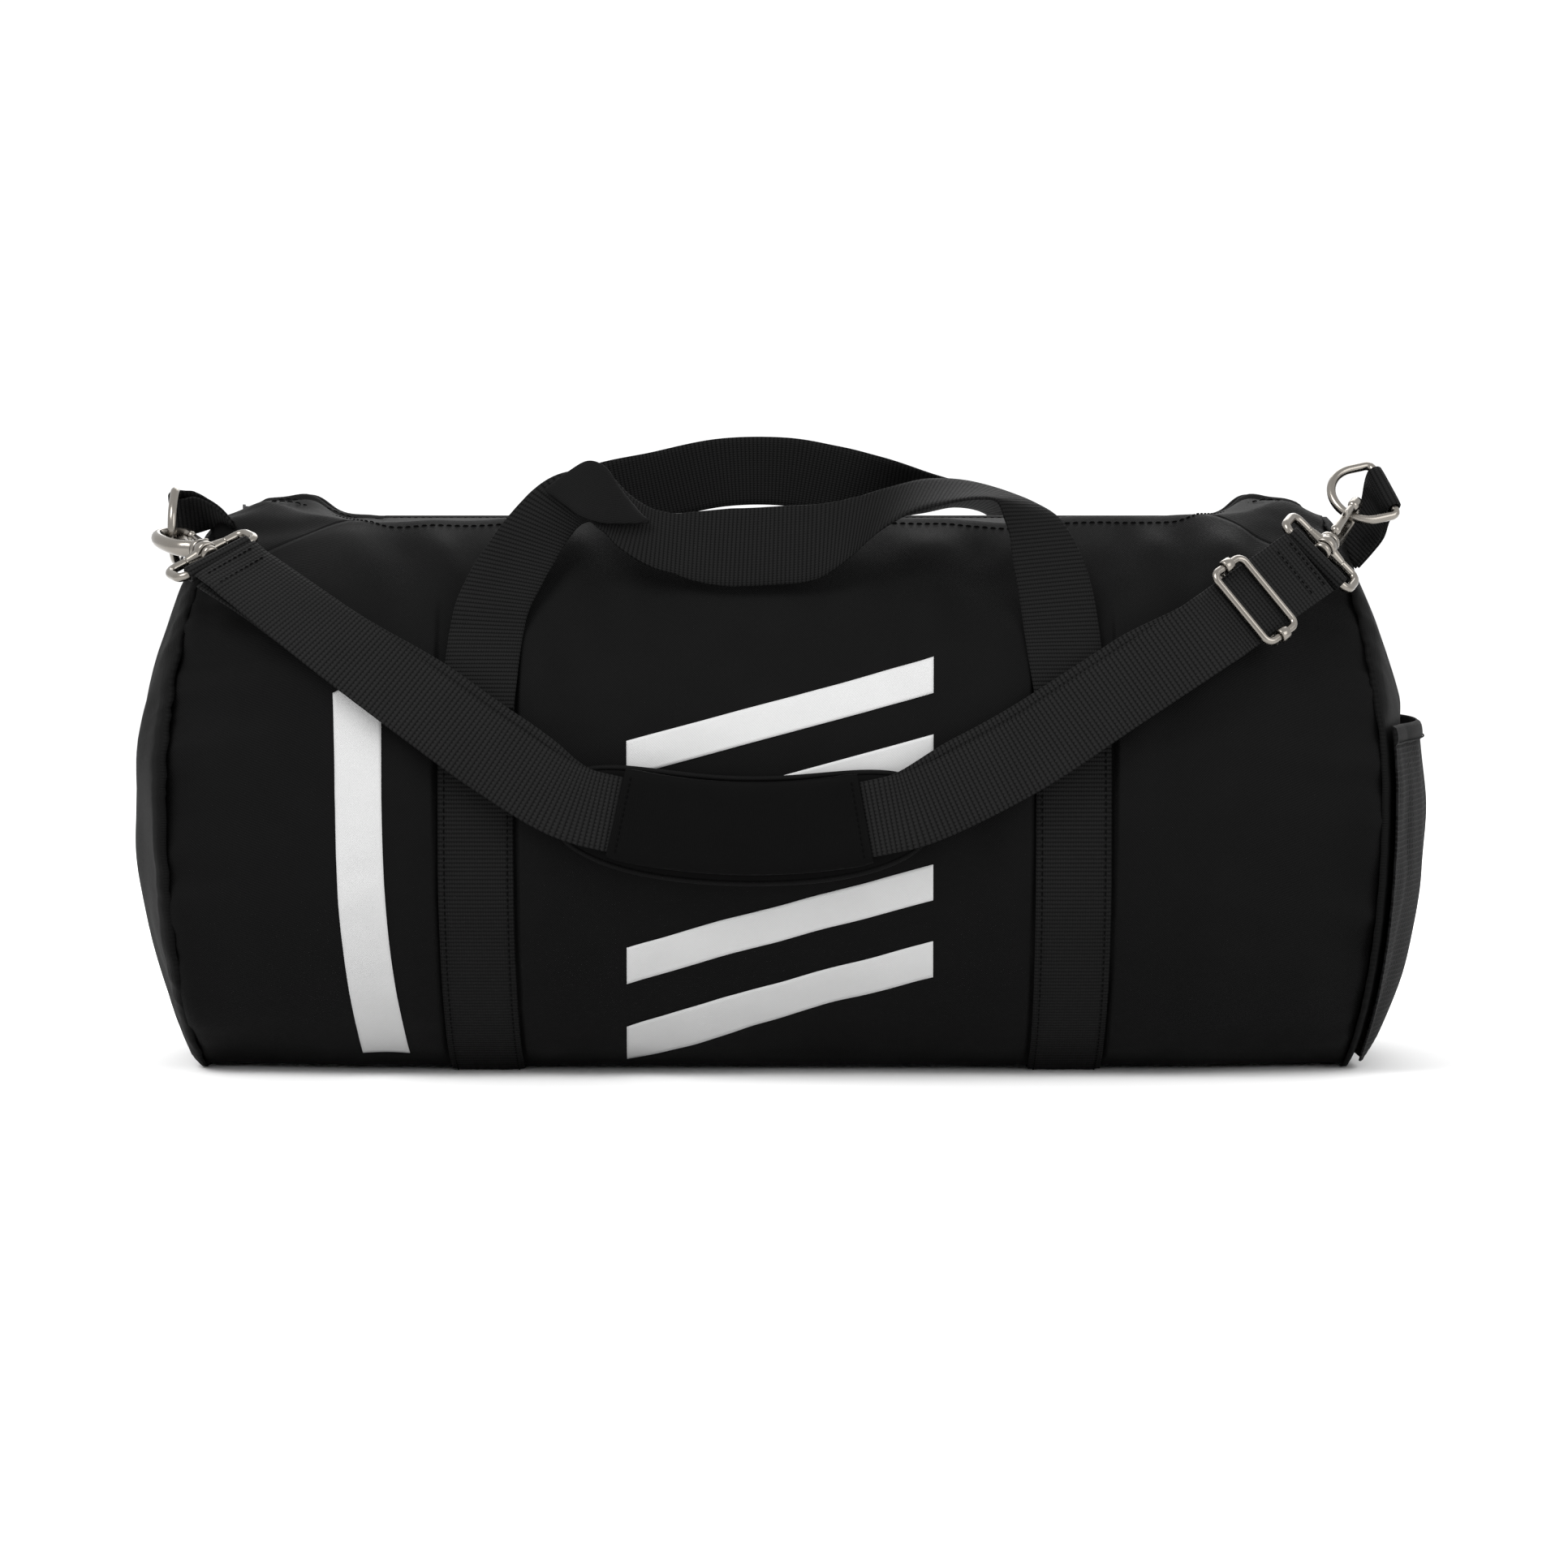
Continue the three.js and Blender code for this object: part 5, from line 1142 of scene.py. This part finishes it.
def ring_tab(name, bar, b, dd, base, wbase, nodes):
    """webbing that leaves the bag's end seam, turns round the ring's bar and comes back"""
    e = unit(np.cross(dd, b))
    wbase = wbase if np.dot(wbase, b) > 0 else -wbase
    keys = []
    for k, q in enumerate(base):
        keys.append((q, 0.85, k / (len(base) + 1)))
    up = [(np.asarray(q, float), 0.85, unit(lerp(wbase, b, f))) for q, _, f in keys]
    ctr = [(bar + dd * 8.5, 1.5, b), (bar + dd * 3.5, 2.6, b)]
    path, wid = [], []

    def add(pt, off, w, sg):
        t = unit(np.cross(w, e))
        path.append(pt + e * off * sg)
        wid.append(w)
    for q, off, w in up + ctr:
        add(q, off, w, 1)
    for a in np.linspace(0, math.pi, 11)[0:]:
        path.append(bar - dd * 3.1 * math.sin(a) + e * 3.0 * math.cos(a))
        wid.append(b)
    for q, off, w in (up + ctr)[::-1]:
        add(q, off, w, -1)
    u = np.linspace(0, 1, 110)
    c, w = catmull(path, u), unit(catmull(wid, u))
    t = unit(np.gradient(c, axis=0))
    n = unit(np.cross(t, w))
    v, f, uv = ribbon(c, w, n, 21.6, 1.4, across=8, crown=0.0)
    o = make(name, v, f, WEBBING, uv=uv, replaces=nodes)
    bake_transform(o)


ring_tab("left_ring_tab", L_BAR, L_B, A(1, 0, 0), [A(-243, -33, 236.5), A(-248.5, -33, 241.5), A(-254, -33.4, 244.3)], A(0, 0.94, -0.34),
         ("left_tab_loop", "left_tab_base"))
ring_tab("right_ring_tab", R_BAR, R_B, R_D, [A(250.5, -33, 224), A(256, -34, 231.5), A(261, -36, 239.5)], unit(A(0.33, -0.88, -0.34)),
         ("right_tab_loop", "right_tab_base"))


# ------------------------------------------------------------------ swivelling snap hooks
def snap_hook(side, eye, w_guess, bar, a, b):
    C = bar + a * RING_ARC_A
    pull = eye - C
    pa, pb = max(0.0, float(np.dot(pull, a))), float(np.dot(pull, b))
    k = math.hypot(pa, pb)
    hold = C + a * (RING_HALF * pa / k) + b * (RING_HALF * pb / k)
    wire = unit(a * (-pb / k) + b * (pa / k))
    u = hold - eye
    ln = float(np.linalg.norm(u))
    u = u / ln
    w = unit(w_guess - u * np.dot(w_guess, u))
    v = unit(np.cross(u, w))
    t = unit(wire - u * np.dot(wire, u))
    m = unit(np.cross(t, u))
    Pf = lambda pu, pw, pv=0.0: eye + u * pu + w * pw + v * pv
    Q = lambda pu, pm, pt=0.0: eye + u * pu + m * pm + t * pt
    q = rect_loop(EYE_LEN / 2, EYE_HALF, 3.8, 90)
    parts = [tube(np.array([Pf(EYE_LEN / 2 + x[0], x[1]) for x in q]), EYE_R, 16, closed=True)]
    parts.append(lathe([(EYE_LEN - 2.8, 2.9), (EYE_LEN - 2.8, 4.4), (EYE_LEN - 2.2, 5.1), (EYE_LEN + 2.5, 5.1), (EYE_LEN + 3.1, 4.5), (EYE_LEN + 3.1, 2.9)], eye, u, 32, close=True))
    # flared shoulders between the boss and the loop
    for sg in (-1, 1):
        pp = np.array([Pf(EYE_LEN, sg * x) for x in np.linspace(3.0, 10.5, 8)])
        parts.append(tube(pp, np.linspace(3.3, 2.02, 8), 14, ref=u))
    vv, ff_, uu = merge(parts)
    make(side + "_swivel_loop", vv, ff_, NICKEL, uv=uu, body="strap", replaces=(side + "_hook_loop",))
    top = ln + 5.4
    parts = [lathe([(EYE_LEN - 6.6, 0.6), (EYE_LEN - 6.6, 2.6), (EYE_LEN - 6.2, 3.6), (EYE_LEN - 5.4, 4.1), (EYE_LEN - 3.9, 4.1), (EYE_LEN - 3.3, 3.5), (EYE_LEN - 3.2, 2.5), (EYE_LEN + 3.4, 2.5), (EYE_LEN + 3.5, 4.2), (EYE_LEN + 4.2, 4.8), (EYE_LEN + 6.0, 4.8), (EYE_LEN + 7.0, 4.2), (EYE_LEN + 9.4, 3.2), (EYE_LEN + 11, 0.6)], eye, u, 32)]
    path = [Q(17, 0), Q(21, -1.8), Q(26, -5.8), Q(33, -7.6), Q(top - 8, -7.6), Q(top - 2.0, -5.2), Q(top, 0), Q(top - 1.7, 4.8), Q(top - 5.6, 7.2), Q(top - 9.6, 7.4)]
    cu = catmull(path, np.linspace(0, 1, 90))
    cu = resample(cu, 0.8)
    sN = np.linspace(0, 1, len(cu))
    rad = np.interp(sN, [0, 0.12, 0.35, 0.6, 0.8, 1.0], [3.4, 3.4, 3.0, 2.7, 2.5, 2.2])
    pts, rads = ball_ends(cu, rad)
    parts.append(tube(pts, rads, 16, ref=t, flat=1.12))
    vv, ff_, uu = merge(parts)
    make(side + "_claw_body", vv, ff_, NICKEL, uv=uu, body=side + "_claw", replaces=(side + "_hook_claw",))
    # sprung gate with its thumb knob
    g = catmull([Q(EYE_LEN + 10, 4.4), Q((EYE_LEN + 10 + top - 12) / 2, 6.2), Q(top - 13.2, 7.3)], np.linspace(0, 1, 26))
    pts, rads = ball_ends(g, np.interp(np.linspace(0, 1, 26), [0, 0.3, 1], [2.3, 1.9, 1.6]))
    parts = [tube(pts, rads, 14)]
    kn = g[12]
    parts.append(tube(*ball_ends(np.array([kn + m * x for x in np.linspace(0, 3.2, 6)]), 1.15), nrad=12))
    vv, ff_, uu = merge(parts)
    make(side + "_gate_arm", vv, ff_, NICKEL, uv=uu, body=side + "_gate", replaces=(side + "_hook_gate",))
    return w, u


wl, _ = snap_hook("left", L_EYE, lW, L_BAR, L_A, L_B)
wr, _ = snap_hook("right", rEye, rW, R_BAR, R_A, R_B)
turn("webbing_turn_left", L_EYE, wl, EYE_R + 0.3, EYE_R + 0.3 + 1.4, "strap", "strap_left_turn")
turn("webbing_turn_right", rEye, wr, EYE_R + 0.3, EYE_R + 0.3 + 1.4, "strap", "strap_right_turn")


# ------------------------------------------------------------------ generic print: a stripe and plain slanted bars
def decal(name, corners_fn, nu, nv):
    """thin printed layer over the front: corners_fn(a, b) gives body x and height z for a, b in 0..1"""
    aa, bb = np.meshgrid(np.linspace(0, 1, nu), np.linspace(0, 1, nv), indexing="ij")
    x, z = corners_fn(aa, bb)
    p, n = on_shell(x, z, -1, 0.42)
    v, f, u = slab(p, n, 0.25, np.stack([x, z], -1))
    make(name, v, f, PRINT, uv=u, body="bag_body")


def pic(px, py):
    """body x and height z of the front surface on a line of sight (a few fixed-point steps)"""
    px, py = np.broadcast_arrays(np.asarray(px, float), np.asarray(py, float))
    y = np.full(px.shape, -130.0)
    for _ in range(12):
        s = 0.3678 * (2000 + y) / 2000
        x, z = (px - 964) * s, 122.5 + (966 - py) * s - y * SIN3
        y = 0.5 * y - 0.5 * depthAt(x, np.clip(z, 1, 240))
    return x, np.clip(z, 3.2, 240)


stripe_c = [(835, 441, 30), (870, 441, 30), (900, 441, 30), (1000, 441, 30), (1100, 444, 30), (1200, 454, 29.5), (1308, 476, 27)]
_sy = np.array([k[0] for k in stripe_c], float)
_sc = np.array([k[1] for k in stripe_c], float)


def stripe(a, b):
    py = lerp(842, 1300, b)
    cxx = catmull([(k[0], k[1], k[2]) for k in stripe_c], np.linspace(0, 1, 60))
    ctr = np.interp(py, cxx[:, 0], cxx[:, 1])
    return pic(ctr + (a - 0.5) * 2 * 29.5, py + (0.5 - a) * 26 * (1 - smooth((py - 842) / 60)))


decal("print_stripe", stripe, 14, 150)


def bar_print(x0, y0, x1, y1, wdt):
    def f(a, b):
        return pic(lerp(x0, x1, b), lerp(y0, y1, b) + (a - 0.5) * wdt)
    return f


decal("print_bar_1", bar_print(772, 935, 1150, 832, 44), 12, 90)
decal("print_bar_2", bar_print(772, 1030, 1150, 927, 44), 12, 90)
decal("print_bar_3", bar_print(772, 1190, 1150, 1087, 44), 12, 90)
decal("print_bar_4", bar_print(772, 1285, 1150, 1182, 44), 12, 90)

# ------------------------------------------------------------------ CAD nodes that stay
for nm, mt in (("zip_slider", GUNMETAL), ("zip_puller", GUNMETAL), ("left_seam_binding", SMOOTHWEB), ("right_seam_binding", SMOOTHWEB)):
    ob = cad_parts[nm]
    ob.data.materials.clear()
    ob.data.materials.append(mt)

# ------------------------------------------------------------------ stage, light, camera
bpy.ops.mesh.primitive_plane_add(size=60, location=(0, 0, -0.0004))
floor = bpy.context.object
floor.name = "floor"
fm, nt, b = new_mat("floor_paint")
tc = nt.nodes.new("ShaderNodeTexCoord")
nz = node(nt, "ShaderNodeTexNoise", Scale=3.0, Detail=2.0)
nt.links.new(tc.outputs["Object"], nz.inputs["Vector"])
nt.links.new(ramp(nt, nz.outputs["Fac"], [(0.3, (0.905, 0.905, 0.905)), (0.7, (0.925, 0.925, 0.925))]), b.inputs["Base Color"])
b.inputs["Roughness"].default_value = 0.95
b.inputs["Specular IOR Level"].default_value = 0.0
floor.data.materials.append(fm)

world = bpy.data.worlds.new("studio")
bpy.context.scene.world = world
world.use_nodes = True
world.node_tree.nodes["Background"].inputs[0].default_value = (1, 1, 1, 1)
world.node_tree.nodes["Background"].inputs[1].default_value = 1.12


def area(name, loc, target, size, energy, size_y=None, colour=(1, 1, 1)):
    L = bpy.data.lights.new(name, "AREA")
    L.shape = "RECTANGLE"
    L.size, L.size_y = size, size_y or size
    L.energy = energy
    L.color = colour
    o = bpy.data.objects.new(name, L)
    bpy.context.scene.collection.objects.link(o)
    from mathutils import Vector
    o.location = loc
    o.rotation_mode = "QUATERNION"
    o.rotation_quaternion = (Vector(target) - Vector(loc)).to_track_quat("-Z", "Y")
    return o


area("key", (-1.3, -1.6, 2.2), (0, 0, 0.12), 1.3, 55)
area("fill", (1.8, -1.6, 1.2), (0, 0, 0.12), 1.6, 26)
area("back", (0.2, 1.6, 1.6), (0, 0, 0.12), 1.6, 26)

cam = bpy.data.cameras.new("camera")
co = bpy.data.objects.new("camera", cam)
bpy.context.scene.collection.objects.link(co)
cam.sensor_width = 36
cam.lens = 18 / math.tan(math.radians(20.14 / 2))
co.location = (0.0007, -2.0 * math.cos(math.radians(3)), 0.1225 + 2.0 * math.sin(math.radians(3)))
co.rotation_euler = (math.radians(87), 0, 0)
cam.clip_start, cam.clip_end = 0.05, 80
bpy.context.scene.camera = co
bpy.context.scene.view_settings.view_transform = "Standard"
bpy.context.scene.view_settings.look = "None"
